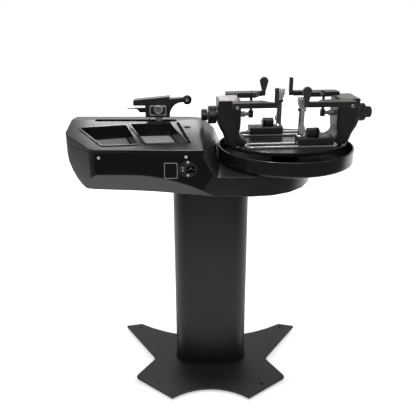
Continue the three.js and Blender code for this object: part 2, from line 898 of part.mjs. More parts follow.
// Rocker: two faces meet in a shallow valley, and its ends follow a circle about the stub pins
function rockerSwitch() {
  const reach = rockerHeight / 2;
  const front = -rockerPivotDepth;
  const proud = front - rockerTravel;
  const pressed = front + rockerTravel / 2;
  const back = rockerWell / 3;
  const onEnd = (y, side) => [y, side * Math.sqrt(reach * reach - y * y)];
  const outline = [
    onEnd(pressed, -1), onEnd(0, -1), [back, -reach / 2], [back, reach / 2], onEnd(0, 1),
    onEnd((front + proud) / 2, 1), onEnd(proud, 1), [front, 0],
  ];
  const rocker = throughX(outline, -rockerWidth / 2, rockerWidth / 2);
  const pin = rodAlongX(rockerPivotRadius, -rockerWidth / 2 - overrun / 2, rockerWidth / 2 + overrun / 2);
  const place = [inletX + rockerX, -halfDepth - seat + rockerPivotDepth - inletFlange, inletZ];
  return piece('rocker_switch', join(rocker, pin).translate(...place), satinBlack());
}

function operatorPanel() {
  const sheet = upright(
    rectangle(operatorWidth, operatorHeight, 0, operatorMiddle, operatorRound), seat,
    seat + operatorThickness);
  const pane = upright(
    rectangle(windowWidth + 2 * seat, windowHeight + 2 * seat, windowX, operatorMiddle),
    seat + operatorThickness - windowThickness, 2 * operatorThickness);
  const drills = keyPlaces.map(([x, y]) => rod(keyStemRadius + 2 * seat, 0, 2 * operatorThickness)
    .translate(x, y, 0));
  return piece('control_panel', cut(sheet, pane, ...drills).applyMatrix4(operatorFrame), satinBlack());
}

function displayWindow() {
  const floor = operatorThickness - windowThickness + 2 * seat;
  const pane = upright(rectangle(windowWidth, windowHeight, windowX, operatorMiddle), floor,
    floor + windowThickness);
  return piece('display_window', join(pane).applyMatrix4(operatorFrame), glass());
}

function keys() {
  const bottom = seat + operatorThickness + keyTravel + seat;
  return ['key_down', 'key_up'].map((name, i) => {
    const [x, y] = keyPlaces[i];
    const cap = upright(rectangle(keyWidth, keyDepth, x, y, keyThickness), bottom, bottom + keyThickness);
    const stem = rod(keyStemRadius, -keyStemLength, bottom + keyThickness / 2).translate(x, y, 0);
    return piece(name, join(cap, stem).applyMatrix4(operatorFrame), rubber());
  });
}

// Chassis and drive inside the housing
const gearFaceY = -pulleyWidth / 2 - pulleyLip;

function chassis() {
  const bottom = seat;
  const top = seat + chassisThickness;
  const floor = upright([
    [-chassisLeftX, -chassisLeftDepth / 2], [-housingCornerX / 2, -chassisLeftDepth / 2],
    [chassisRightX, -chassisRightDepth / 2], [chassisRightX, chassisRightDepth / 2],
    [-housingCornerX / 2, chassisRightDepth],
    [-chassisLeftX + chassisThickness, chassisRightDepth / 2 + standoffY],
    [-chassisLeftX, chassisLeftDepth / 2],
  ], bottom, top);
  const ends = [-chassisLeftX, endWallRightX].map((x) =>
    block(x, x + endWallThickness, -endWallDepth / 2, endWallDepth / 2, bottom, endWallHeight));
  const lugY = pulleyWidth / 2 + pulleyLip + seat;
  const lugs = [-lugY - lugThickness, lugY].map((y) =>
    block(idlerX - lugWidth / 2, idlerX + lugWidth / 2, y, y + lugThickness, bottom, pulleyZ + lugRise));
  const motorLug = block(
    driverX - motorRadius, driverX + motorRadius, gearFaceY - 2 * seat - lugThickness,
    gearFaceY - 2 * seat, bottom, pulleyZ + motorRadius);
  const body = join(floor, ...ends, ...lugs, motorLug);
  const rodHoles = [-rodY, rodY].map((y) =>
    rodAlongX(rodRadius + seat, -chassisLeftX - overrun, endWallRightX + 2 * overrun)
      .translate(0, y, rodZ));
  const idlerHole = rodAlongY(axleRadius + seat, -2 * lugY, 2 * lugY + lugThickness)
    .translate(idlerX, 0, pulleyZ);
  const shaftHole = rodAlongY(axleRadius + 3 * seat, -motorRadius, 0).translate(driverX, 0, pulleyZ);
  const spindleHole = rod(spindleRadius + 2 * seat, -overrun, top + overrun).translate(tableX, 0, 0);
  return piece('chassis', cut(body, ...rodHoles, idlerHole, shaftHole, spindleHole), aluminium());
}

function guideRod(name, y) {
  const length = rodAlongX(rodRadius, -chassisLeftX, endWallRightX + endWallThickness);
  return piece(name, join(length.translate(0, y, rodZ)), steel());
}

function pulley(name, x, boreRadius, axle) {
  const half = pulleyWidth / 2;
  const rim = pulleyRadius - beltThickness;
  const edge = half + pulleyLip - seat;
  const profile = [
    [boreRadius, -edge], [pulleyRadius + pulleyLip, -edge], [pulleyRadius + pulleyLip, -half], [rim, -half],
    [rim, half], [pulleyRadius + pulleyLip, half], [pulleyRadius + pulleyLip, edge], [boreRadius, edge],
  ];
  const wheel = boreRadius > 0 ? turned([...profile, profile[0]], roundSides) : turned(profile, roundSides);
  const shape = axle ? join(wheel, rod(axleRadius, -axle, axle)) : join(wheel);
  return piece(name, shape.applyMatrix4(acrossY).translate(x, 0, pulleyZ), aluminium());
}

function driveBelt() {
  const length = driverX - idlerX;
  const outer = stadium(length + 2 * pulleyRadius, 2 * pulleyRadius);
  const innerRadius = pulleyRadius - beltThickness + seat;
  const inner = stadium(length + 2 * innerRadius, 2 * innerRadius);
  const band = throughY(outer, -beltWidth / 2, beltWidth / 2, { holes: [inner] });
  return piece('drive_belt', join(band).translate((driverX + idlerX) / 2, 0, pulleyZ), rubber());
}

function driveMotor() {
  const face = gearFaceY - 3 * seat - lugThickness;
  const gearbox = throughY(
    rectangle(2 * motorRadius, 2 * motorRadius, 0, 0, motorRadius / 3), face - gearboxLength, face);
  const can = rodAlongY(motorRadius - overrun / 2, face - gearboxLength - motorLength,
    face - gearboxLength, roundSides);
  const shaft = rodAlongY(axleRadius, face, pulleyWidth / 2);
  return piece('drive_motor', join(gearbox, can, shaft).translate(driverX, 0, pulleyZ), steel());
}

function powerSupply() {
  const bottom = chassisThickness + 2 * seat;
  const box = upright(
    rectangle(supplyLength, supplyDepth, supplyX, supplyY - supplyDepth / 4), bottom,
    bottom + supplyHeight, { bevel: plateBevel });
  return piece('power_supply', join(box), aluminium());
}

function circuitBoard() {
  const bottom = chassisThickness + 2 * seat;
  const legTop = bottom + boardStand;
  const sheet = upright(rectangle(boardLength, boardDepth, boardX, boardY), legTop,
    legTop + boardThickness);
  const legs = [-1, 1].flatMap((sx) =>
    [-1, 1].map((sy) => rod(boardLegRadius, bottom, legTop + boardThickness / 2).translate(
      boardX + sx * (boardLength / 2 - boardStand), boardY + sy * (boardDepth / 2 - boardStand), 0)));
  const chips = [-1, 0, 1].map((i) => upright(
    rectangle(chipLength, chipLength, boardX + i * (chipLength + boardStand), boardY),
    legTop + boardThickness / 2, legTop + boardThickness + chipHeight));
  return piece('circuit_board', join(sheet, ...legs, ...chips), board());
}

// Tension carriage on the rods, with the mast that rises through the slot
const headBottom = backRidgeZ + headGap;
const beltTop = pulleyZ + pulleyRadius;

function tensionCarriage() {
  const bottom = rodZ - carriageHeight / 2;
  const body = block(
    mastX - carriageLength / 2, mastX + carriageLength / 2, -carriageDepth / 2, carriageDepth / 2, bottom,
    rodZ + carriageHeight / 2);
  const mast = block(
    mastX - mastWidth / 2, mastX + mastWidth / 2, -mastDepth / 2, mastDepth / 2, rodZ, headBottom - seat);
  const collar = rod(collarRadius, headBottom - seat - collarHeight, headBottom - seat, roundSides)
    .translate(mastX, 0, 0);
  const clip = block(
    mastX - clipThickness, mastX + clipThickness, -beltWidth / 2, beltWidth / 2, beltTop + seat, rodZ);
  const bores = [-rodY, rodY].map((y) =>
    rodAlongX(rodRadius + seat, mastX - carriageLength, mastX + carriageLength).translate(0, y, rodZ));
  return piece('tension_carriage', cut(join(body, mast, collar, clip), ...bores), steel());
}

// Tension head: x from the mast, z from its underside
const headPlace = new THREE.Vector3(mastX, 0, headBottom);

function tensionHead() {
  const nose = arcPoints(noseX, noseZ, cheekRadius, -Math.PI / 3, Math.PI / 2, curveSteps);
  const fillet = new THREE.QuadraticBezierCurve(
    new THREE.Vector2(headRight, filletRise), new THREE.Vector2(headRight + filletRise, armBottom),
    new THREE.Vector2(noseX - noseRadius, armBottom)).getPoints(curveSteps).map((p) => [p.x, p.y]);
  const side = [
    [-headLeft, 0], [headRight, 0], ...fillet, ...nose.slice(1), [headRight, armTop],
    [headRight, headTailTop + headTopRise], [-headTailLeft, headTailTop], [-headTailLeft, headLedge],
    [-headLeft, headLedge],
  ];
  const half = headThickness / 2;
  const armHalf = noseWidth / 2 + seat + cheekThickness;
  const slab = throughY(side, -half, half);
  const armSides = [-1, 1].map((s) => block(
    headRight + filletRise / 2, noseX + 2 * noseRadius, Math.min(s * armHalf, s * 2 * half),
    Math.max(s * armHalf, s * 2 * half), filletRise / 2, 2 * headTailTop));
  const noseGap = rodAlongY(noseRadius + 2 * seat, -noseWidth / 2 - seat, noseWidth / 2 + seat, roundSides)
    .translate(noseX, 0, noseZ);
  const pinHole = rodAlongY(nosePinRadius + seat, -2 * half, 2 * half).translate(noseX, 0, noseZ);
  const knobHole = rodAlongY(forceKnobStem + seat, -2 * half, -half + forceKnobStemLength + seat)
    .translate(forceKnobX, 0, forceKnobZ);
  const sidePlate = throughY(
    rectangle(sidePlateWidth, sidePlateHeight, sidePlateX, sidePlateZ, plateBevel),
    -half - sidePlateThickness, -half);
  const leverGap = throughY(
    rectangle(leverTip - headLeft, 2 * headLedge, -headLeft - (leverTip - headLeft) / 2 + leverSlot, 0),
    -leverThickness / 2 - seat, leverThickness / 2 + seat);
  const leverPin = rodAlongY(leverPivotRadius, -half / 2, half / 2)
    .translate(leverPivotX + leverSlot, 0, leverPivotZ);
  const feeler = rod(feelerRadius, -feelerLength, headLedge / 2, smallSides / 2)
    .translate(feelerX, -leverThickness / 2 - 2 * feelerRadius, 0);
  const shape = join(cut(join(slab, sidePlate), ...armSides, noseGap, pinHole, knobHole, leverGap),
    leverPin, feeler);
  return piece('tension_head', shape.translate(...headPlace), satinBlack());
}

function noseRoller() {
  const half = noseWidth / 2;
  const pinHalf = half + cheekThickness + seat;
  const waist = noseRadius - overrun / 2;
  const roller = turned([
    [0, -pinHalf], [nosePinRadius, -pinHalf], [nosePinRadius, -half], [noseRadius, -half],
    [noseRadius, -half / 2], [waist, 0], [noseRadius, half / 2], [noseRadius, half],
    [nosePinRadius, half], [nosePinRadius, pinHalf], [0, pinHalf],
  ]);
  const place = headPlace.clone().add(new THREE.Vector3(noseX, 0, noseZ));
  return piece('nose_roller', join(roller.applyMatrix4(acrossY)).translate(...place), steel());
}

function forceKnob() {
  const face = -headThickness / 2 - sidePlateThickness - seat;
  const grip = upright(knurled(forceKnobRadius, knurlCount / 2, knurlDepth), 0, forceKnobHeight);
  const stem = rod(forceKnobStem, -forceKnobStemLength, forceKnobHeight / 2);
  const shape = join(grip, stem).applyMatrix4(acrossY).translate(forceKnobX, face, forceKnobZ);
  return piece('force_knob', shape.translate(...headPlace), aluminium());
}

// Release lever: a thick root on the pivot pin that thins to a blade
function releaseLever() {
  const pivot = leverPivotX + leverSlot;
  const outline = roundedLoop([
    [pivot + leverSlot / 2, leverPivotZ - leverBodyHeight / 2],
    [pivot + leverSlot / 2, leverPivotZ + leverBodyHeight / 2],
    [pivot - leverTip, leverPivotZ + leverBodyHeight / 2],
    [pivot - leverTip, leverPivotZ + leverBodyHeight / 2 - leverBladeHeight],
    [pivot - leverTip / 2, leverPivotZ + leverBodyHeight / 2 - leverBladeHeight],
    [pivot - leverTip / 3, leverPivotZ - leverBodyHeight / 2],
  ].reverse());
  const blade = throughY(outline, -leverThickness / 2, leverThickness / 2);
  const bore = rodAlongY(leverPivotRadius + seat, -leverThickness, leverThickness)
    .translate(pivot, 0, leverPivotZ);
  return piece('release_lever', cut(blade, bore).translate(...headPlace), aluminium());
}

// Turntable: z is measured from the deck
function turntableBowl() {
  const inner = bowlRadius - bowlWall;
  const hole = bearingRadius + 2 * seat;
  const bowl = turned([
    [hole, seat], [bowlRadius - bowlFlare, seat], [bowlRadius, bowlFlare],
    [bowlRadius, bowlHeight - bowlLip], [bowlRadius - bowlLip / 2, bowlHeight],
    [inner + bowlLip / 2, bowlHeight], [inner, bowlHeight - bowlLip],
    [inner, bowlFloor + bowlLip], [inner - bowlLip, bowlFloor], [hole, bowlFloor], [hole, seat],
  ], bowlSides);
  return piece('turntable_bowl', join(bowl), glossBlack());
}

const bearingBottom = chassisThickness + 2 * seat - deckZ;
const tableBottom = tableTop - tableThickness;

function spindleBearing() {
  const bearing = ring(spindleRadius + seat, bearingRadius, bearingBottom, bearingTop);
  return piece('spindle_bearing', join(bearing), steel());
}

function ellipse(halfLength, halfDepth) {
  return circle(0, 0, 1, bowlSides).map(([x, y]) => [halfLength * x, halfDepth * y]);
}

function tablePlate() {
  const plate = upright(ellipse(tableHalfLength, tableHalfDepth), tableBottom, tableTop,
    { bevel: tableBevel });
  const flange = rod(spindleFlangeRadius, bearingTop + seat, tableBottom + tableBevel, roundSides);
  const spindle = rod(spindleRadius, tableBottom - spindleFlangeThickness - spindleReach, tableBottom,
    roundSides);
  return piece('table_plate', join(plate, flange, spindle), satinBlack());
}

const railTop = tableTop + seat + railBar;

function glideRail(name, y) {
  const outer = stadium(railLength, railSpacing + railBar, curveSteps);
  const inner = stadium(railLength - 2 * railBar, railSpacing - railBar, curveSteps);
  const loop = upright(outer, tableTop + seat, railTop, { holes: [inner], bevel: railBevel });
  return piece(name, join(loop.translate(0, y, 0)), steel());
}

// Tower: an x-z outline, waisted above a foot that flares inwards; side is -1 or 1
const towerBottom = tableTop + seat;
const towerTop = tableTop + towerHeight;
const knobZ = tableTop + knobAxis;

function tower(name, side) {
  const outline = [
    [towerFootInnerX, towerBottom], [towerFootOuterX, towerBottom],
    [towerWaistOuterX, towerBottom + towerWaistHeight], [towerOuterX, towerTop - towerHeadHeight],
    [towerOuterX, towerTop], [towerInnerX, towerTop],
    [towerInnerX, towerTop - towerHeadHeight], [towerWaistInnerX, towerBottom + towerWaistHeight],
    [towerFootInnerX, towerBottom + towerFootHeight],
  ];
  const half = towerDepth / 2;
  const body = throughY(outline, -half, half, { bevel: towerBevel });
  const sleeveHole = rodAlongX(knobSleeveRadius + seat, towerOuterX - knobSleeveReach, 2 * towerOuterX,
    roundSides)
    .translate(0, 0, knobZ);
  const rodHole = rodAlongX(supportRodRadius + seat, towerFootInnerX, towerOuterX, roundSides)
    .translate(0, 0, knobZ);
  const armHole = rodAlongY(armPinRadius + seat, -half - overrun, half + overrun, smallSides)
    .translate(armPinX, 0, armPinZ);
  const shape = cut(body, sleeveHole, rodHole, armHole);
  return piece(name, side > 0 ? shape : shape.rotateZ(Math.PI), satinBlack());
}

function towerCap(name, side) {
  const outline = rectangle(
    capLength, towerDepth + 2 * capOverhang, side * (towerInnerX + towerOuterX) / 2, 0, towerBevel);
  return piece(name, join(upright(outline, towerTop + seat, towerTop + seat + capThickness)), aluminium());
}

// Knobs, built on +X and turned over for the left tower
function bigKnob(name, side) {
  const grip = upright(
    knurled(bigKnobRadius, knurlCount, knurlDepth), towerOuterX + knobGap,
    towerOuterX + knobGap + bigKnobLength,
    { holes: [circle(0, 0, bigKnobBore, roundSides)], bevel: knurlDepth });
  const shape = join(grip.applyMatrix4(alongX)).translate(0, 0, knobZ);
  return piece(name, side > 0 ? shape : shape.rotateZ(Math.PI), satinBlack());
}

const smallKnobX = towerOuterX + 2 * knobGap + bigKnobLength;

function smallKnob(name, side) {
  const grip = upright(
    knurled(smallKnobRadius, smallKnurlCount, knurlDepth), smallKnobX, smallKnobX + smallKnobLength,
    { bevel: knurlDepth });
  const sleeve = rod(knobSleeveRadius, towerOuterX - knobSleeveReach + seat,
    smallKnobX + knurlDepth + seat, roundSides);
  const bore = rod(supportRodRadius + seat, towerFootInnerX, smallKnobX, roundSides);
  const shape = cut(join(grip, sleeve), bore).applyMatrix4(alongX).translate(0, 0, knobZ);
  return piece(name, side > 0 ? shape : shape.rotateZ(Math.PI), satinBlack());
}

// Head or throat support: rod, upright post and a cradle block that overhangs the cap
function frameSupport(name, side) {
  const reach = rodAlongX(supportRodRadius, supportX, supportX + supportRodReach - bigKnobLength,
    roundSides)
    .translate(0, 0, knobZ);
  const boss = rod(supportRodRadius + overrun / 2, knobZ - postBelow, knobZ + postBelow, roundSides)
    .translate(supportX, 0, 0);
  const post = rod(postRadius, knobZ - postBelow, tableTop + postTop + overrun).translate(supportX, 0, 0);
  const blockBottom = tableTop + postTop;
  const inner = supportX - supportBlockInner;
  const top = block(
    inner, inner + supportBlockLength, -supportBlockDepth / 2, supportBlockDepth / 2, blockBottom,
    blockBottom + supportBlockHeight);
  const cradle = rod(cradleRadius, blockBottom + supportBlockHeight / 2,
    blockBottom + 2 * supportBlockHeight, roundSides)
    .translate(inner - cradleRadius / 2, 0, 0);
  const shape = join(reach, boss, post, cut(top, cradle));
  return piece(name, side > 0 ? shape : shape.rotateZ(Math.PI), satinBlack());
}

const armTopZ = towerTop + armLift;
const armBottomZ = armTopZ - armHeight;
const armPinZ = towerTop - armPinDrop;
const corners = [['left', -1], ['right', 1]].flatMap(([end, sx]) =>
  [['near', -1], ['far', 1]].map(([edge, sy]) =>
  ({ label: `${edge}_${end}`, sx, sy, innerX: sx < 0 ? armInnerLeftX : armInnerRightX })));

// Mirrors an outline of the +X +Y corner into another corner
function toCorner(points, { sx, sy }) {
  const mirrored = points.map(([x, y]) => [sx * x, sy * y]);
  return sx * sy > 0 ? mirrored : mirrored.reverse();
}

function sideArm(corner) {
  const far = armNearY + armDepth;
  const outline = toCorner(roundedLoop([
    [corner.innerX, far - armTipDepth], [armWideX, far - armTipDepth], [armWideX + armTipDepth, armNearY],
    [armOuterX, armNearY], [armOuterX, far, armRound], [corner.innerX, far],
  ]), corner);
  const bar = upright(outline, armBottomZ, armTopZ, { bevel: plateBevel });
  const ends = [armNearY - armPinReach, armNearY + armPinRadius].map((y) => corner.sy * y)
    .sort((a, b) => a - b);
  const pin = rodAlongY(armPinRadius, ...ends).translate(corner.sx * armPinX, 0, armPinZ);
  return piece(`arm_${corner.label}`, join(bar, pin), satinBlack());
}

// Fingers stand on the arms' ends: paddles near right and far left, slim bars in the other corners
function finger(corner) {
  const outerX = corner.innerX - seat;
  const outerY = armNearY + armDepth;
  const slim = upright(toCorner(roundedLoop([
    [outerX - fingerWidth, outerY - fingerDepth, fingerRound], [outerX, outerY - fingerDepth],
    [outerX, outerY], [outerX - fingerWidth, outerY, fingerRound],
  ]), corner), armBottomZ, armBottomZ + fingerRise);
  if (corner.sx * corner.sy > 0) return piece(`finger_${corner.label}`, join(slim), rubber());
  const middleX = corner.sx * (outerX - fingerWidth / 2);
  const middleZ = armBottomZ + paddleRise;
  const ends = [corner.sy * outerY, corner.sy * (outerY - fingerDepth)].sort((a, b) => a - b);
  const neck = fingerWidth / 2;
  const paddle = throughY([
    [middleX - neck, armBottomZ], [middleX + neck, armBottomZ], [middleX + neck, armTopZ + seat],
    ...arcPoints(middleX, middleZ, paddleRadius, -Math.PI / 6, 7 * Math.PI / 6),
    [middleX - neck, armTopZ + seat],
  ], ...ends);
  return piece(`finger_${corner.label}`, join(paddle), rubber());
}

// Clamps: built with the post on the origin and the base running to +X, then turned for the rear rail
const clampBottom = railTop + seat;
const clampTop = clampBottom + clampBaseHeight;
const postFoot = clampTop + seat;
const jawTop = tableTop + clampPostTop + clampHeadHeight;

function placeClamp(mesh, rear) {
  mesh.geometry = rear
    ? mesh.geometry.rotateZ(Math.PI).translate(rearPostX, railY, 0)
    : mesh.geometry.translate(frontPostX, -railY, 0);
  return mesh;
}

function clampBase(name, rear) {
  const side = rectangle(clampBaseLong + clampBaseShort, clampBaseHeight,
    (clampBaseLong - clampBaseShort) / 2, clampBottom + clampBaseHeight / 2);
  const base = throughY(side, -clampBaseDepth / 2, clampBaseDepth / 2, { bevel: clampBevel });
  const tongueHalf = (railSpacing - railBar) / 2 - seat;
  const tongue = block(
    -clampBaseShort + clampBevel, clampTongueLength, -tongueHalf, tongueHalf,
    clampBottom - clampTongueDepth, clampBottom + clampBevel);
  const lock = rodAlongX(lockRadius, lockStart, lockStart + lockLength, roundSides)
    .translate(0, 0, clampTop + lockRadius - clampBevel);
  const bore = rod(clampSpigotRadius + seat, clampTop - clampBoreDepth, 2 * clampTop);
  return placeClamp(piece(name, cut(join(base, tongue, lock), bore), satinBlack()), rear);
}

// Post and fixed jaw, with teeth along the top
function clampPost(name, rear) {
  const neckZ = tableTop + clampPostTop;
  const stem = turned([
    [0, clampTop - clampBoreDepth + seat], [clampSpigotRadius, clampTop - clampBoreDepth + seat],
    [clampSpigotRadius, postFoot], [clampPostRadius, postFoot], [clampPostRadius, neckZ], [0, neckZ],
  ]);
  const half = jawWidth / 2;
  const headOutline = [
    [-jawNeckWidth / 2, neckZ - overrun], [jawNeckWidth / 2, neckZ - overrun],
    [half, neckZ + clampHeadHeight / 2], [half, jawTop], [-half, jawTop],
    [-half, neckZ + clampHeadHeight / 2],
  ];
  const head = throughY(headOutline, -jawDepth / 2, jawDepth / 2);
  const pitch = jawWidth / toothCount;
  const gaps = Array.from({ length: toothCount - 1 }, (_, i) => {
    const x = -half + (i + 1) * pitch;
    return block(x - toothGap / 2, x + toothGap / 2, -jawDepth, jawDepth, jawTop - toothHeight,
      jawTop + overrun);
  });
  const pinHole = rodAlongY(spoonPinRadius + seat, -2 * clampPostRadius, 0)
    .translate(0, 0, tableTop + spoonPivotZ);
  return placeClamp(piece(name, cut(join(stem, head), ...gaps, pinHole), steel()), rear);
}

// Lever: a strip with a spoon end that hangs outside the post
function clampLever(name, rear) {
  const pivot = tableTop + spoonPivotZ;
  const low = pivot - spoonLength;
  const outline = roundedLoop([
    [-spoonEndWidth / 2, low, spoonEndWidth / 3], [spoonEndWidth / 2, low, spoonEndWidth / 3],
    [spoonEndWidth / 2, low + spoonEndWidth, spoonWidth / 2], [spoonWidth / 2, low + 2 * spoonEndWidth],
    [spoonWidth / 2, pivot + spoonWidth / 2, spoonWidth / 3],
    [-spoonWidth / 2, pivot + spoonWidth / 2, spoonWidth / 3],
    [-spoonWidth / 2, low + 2 * spoonEndWidth], [-spoonEndWidth / 2, low + spoonEndWidth, spoonWidth / 2],
  ]);
  const face = -clampPostRadius - 2 * seat;
  const strip = throughY(outline, face - spoonThickness, face);
  const pin = rodAlongY(spoonPinRadius, face - spoonThickness / 2, face + spoonPinLength)
    .translate(0, 0, pivot);
  return placeClamp(piece(name, join(strip, pin), steel()), rear);
}

// Assembly
function group(x, y, z, meshes) {
  const result = new THREE.Group();
  result.position.set(x, y, z);
  result.add(...meshes);
  return result;
}

const stand = group(0, 0, 0, [basePlate(), ...footPlaces.map(rubberFoot), column()]);

const tensioner = [tensionCarriage(), tensionHead(), noseRoller(), forceKnob(), releaseLever()];

const head = group(0, 0, columnTop, [
  chassis(), lowerShell(), topCover(), backPanel(),
  trayInsert('tray_insert_left', leftTrayOutline), trayInsert('tray_insert_right', rightTrayOutline),
  inletHousing(), rockerSwitch(),
  operatorPanel(), displayWindow(), ...keys(),
  guideRod('guide_rod_near', -rodY), guideRod('guide_rod_far', rodY),
  pulley('idler_pulley', idlerX, 0, pulleyWidth / 2 + pulleyLip + lugThickness),
  pulley('drive_pulley', driverX, axleRadius + seat, 0),
  driveBelt(), driveMotor(), powerSupply(), circuitBoard(), ...tensioner,
]);

const turning = group(0, 0, 0, [
  tablePlate(), glideRail('glide_rail_near', -railY), glideRail('glide_rail_far', railY),
  tower('tower_left', -1), tower('tower_right', 1),
  towerCap('tower_cap_left', -1), towerCap('tower_cap_right', 1),
  bigKnob('arm_knob_left', -1), bigKnob('arm_knob_right', 1),
  smallKnob('support_knob_left', -1), smallKnob('support_knob_right', 1),
  frameSupport('throat_support', -1), frameSupport('head_support', 1),
  ...corners.map(sideArm), ...corners.map(finger),
  clampBase('clamp_base_rear', true), clampPost('clamp_post_rear', true),
    clampLever('clamp_lever_rear', true),
  clampBase('clamp_base_front', false), clampPost('clamp_post_front', false),
    clampLever('clamp_lever_front', false),
]);
turning.rotation.z = THREE.MathUtils.degToRad(tableTurnDegrees);
const turntable = group(tableX, 0, columnTop + deckZ, [turntableBowl(), spindleBearing(), turning]);

const machine = group(0, 0, 0, [stand, head, turntable]);

// The origin is on the floor, under the middle of the machine's box
machine.updateMatrixWorld(true);
const middle = new THREE.Box3().setFromObject(machine, true).getCenter(new THREE.Vector3());
machine.position.set(-middle.x, -middle.y, 0);

export default machine;
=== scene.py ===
import json
import math

import bmesh
import bpy
from mathutils import Matrix, Vector

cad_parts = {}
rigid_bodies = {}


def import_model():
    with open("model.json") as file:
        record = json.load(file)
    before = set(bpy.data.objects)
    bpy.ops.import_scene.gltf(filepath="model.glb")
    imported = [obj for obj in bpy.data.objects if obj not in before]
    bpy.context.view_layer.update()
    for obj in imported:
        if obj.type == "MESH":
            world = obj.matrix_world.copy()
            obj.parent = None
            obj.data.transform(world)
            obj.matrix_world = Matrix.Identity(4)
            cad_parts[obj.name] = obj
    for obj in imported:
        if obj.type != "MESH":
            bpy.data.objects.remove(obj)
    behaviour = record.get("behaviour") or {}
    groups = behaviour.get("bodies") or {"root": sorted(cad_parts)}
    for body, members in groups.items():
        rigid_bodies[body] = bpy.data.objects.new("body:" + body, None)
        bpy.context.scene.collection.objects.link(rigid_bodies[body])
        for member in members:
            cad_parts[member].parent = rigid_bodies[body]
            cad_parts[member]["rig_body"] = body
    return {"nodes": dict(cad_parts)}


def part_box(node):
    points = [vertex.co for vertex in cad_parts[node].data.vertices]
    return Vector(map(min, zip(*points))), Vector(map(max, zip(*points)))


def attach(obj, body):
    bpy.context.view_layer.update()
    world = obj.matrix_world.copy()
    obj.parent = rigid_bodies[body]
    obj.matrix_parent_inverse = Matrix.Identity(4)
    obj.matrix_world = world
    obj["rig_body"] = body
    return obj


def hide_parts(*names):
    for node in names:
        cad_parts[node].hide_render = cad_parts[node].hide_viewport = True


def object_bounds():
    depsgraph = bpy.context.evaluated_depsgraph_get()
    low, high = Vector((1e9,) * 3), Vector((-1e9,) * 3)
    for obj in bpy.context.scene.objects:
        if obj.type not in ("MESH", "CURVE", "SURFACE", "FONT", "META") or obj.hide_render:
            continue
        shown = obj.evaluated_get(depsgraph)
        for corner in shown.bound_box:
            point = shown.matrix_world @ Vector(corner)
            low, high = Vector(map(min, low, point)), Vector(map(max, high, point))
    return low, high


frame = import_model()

cad_low, cad_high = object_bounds()

# Camera. It stands in front of the inlet side, a little above the machine's arms, and looks down on
# the machine with a lens that is slightly longer than normal.
camera_place = (-0.0432, -1.715, 1.2853)
camera_pitch = 68.5
lens_mm = 47.6

eye = bpy.data.objects.new("camera", bpy.data.cameras.new("camera"))
bpy.context.scene.collection.objects.link(eye)
eye.location = camera_place
eye.rotation_euler = (math.radians(camera_pitch), 0, 0)
eye.data.lens = lens_mm
bpy.context.scene.camera = eye
bpy.context.scene.view_settings.view_transform = "Standard"

# Studio. A white room that turns dark towards the photographer, the sides and the ceiling: white where
# it is seen or mirrored, dimmer where it only lights. A softbox behind the machine lays its light on
# the cover round the slot, a narrow one draws the cover's near edge, and three fill in.
room_light = 0.58
dark_side = 0.05
side_shade = 0.8
room_dark_at, room_open_at = -0.5, 0.25
ceiling_shade = 0.25
ceiling_from, ceiling_to = 0.46, 0.6
middle = (cad_low + cad_high) / 2


def add(tree, kind, inputs=None, **settings):
    """One shader node with its settings, and each input either set or linked."""
    made = tree.nodes.new(kind)
    for key, value in settings.items():
        setattr(made, key, value)
    for key, value in (inputs or {}).items():
        if isinstance(value, bpy.types.NodeSocket):
            tree.links.new(value, made.inputs[key])
        else:
            made.inputs[key].default_value = value
    return made


def result_of(tree, operation, *values):
    """What a Math node makes of numbers or sockets."""
    return add(tree, "ShaderNodeMath", dict(enumerate(values)), operation=operation).outputs[0]


def colours(node, side):
    """The colour sockets of a Mix node, which share their names with its number sockets."""
    return [socket for socket in getattr(node, side) if socket.type == "RGBA"]


def mirrored_light(tree, place, dark_at, open_at):
    """Whether a ray was mirrored, how open the room is there, and both together with what is seen."""
    path = add(tree, "ShaderNodeLightPath").outputs
    mirrored = result_of(tree, "MAXIMUM", path["Is Glossy Ray"], path["Is Transmission Ray"])
    across = add(tree, "ShaderNodeSeparateXYZ", {0: place}).outputs
    sideways = result_of(tree, "ABSOLUTE", across["X"])
    depth = result_of(tree, "MULTIPLY_ADD", sideways, -side_shade, across["Y"])
    open_side = add(tree, "ShaderNodeMapRange",
                    {"Value": depth, "From Min": dark_at, "From Max": open_at, "To Min": dark_side},
                    interpolation_type="SMOOTHSTEP").outputs["Result"]
    shaded = result_of(tree, "MULTIPLY", mirrored, open_side)
    return mirrored, open_side, result_of(tree, "MAXIMUM", path["Is Camera Ray"], shaded)


room = bpy.data.worlds.new("room")
bpy.context.scene.world = room
room.use_nodes = True
room.node_tree.nodes.clear()
outward = add(room.node_tree, "ShaderNodeTexCoord").outputs["Generated"]
whiteness = mirrored_light(room.node_tree, outward, room_dark_at, room_open_at)[2]
upward = add(room.node_tree, "ShaderNodeSeparateXYZ", {0: outward}).outputs["Z"]
ceiling = add(room.node_tree, "ShaderNodeMapRange",
              {"Value": upward, "From Min": ceiling_from, "From Max": ceiling_to, "To Min": 1.0,
               "To Max": ceiling_shade}, interpolation_type="SMOOTHSTEP")
whiteness = result_of(room.node_tree, "MULTIPLY", whiteness, ceiling.outputs["Result"])
spread_light = add(room.node_tree, "ShaderNodeLightPath").outputs["Is Diffuse Ray"]
strength = result_of(room.node_tree, "MULTIPLY_ADD", spread_light, room_light, whiteness)
walls = add(room.node_tree, "ShaderNodeBackground", {"Color": (1, 1, 1, 1), "Strength": strength})
add(room.node_tree, "ShaderNodeOutputWorld", {"Surface": walls.outputs[0]})


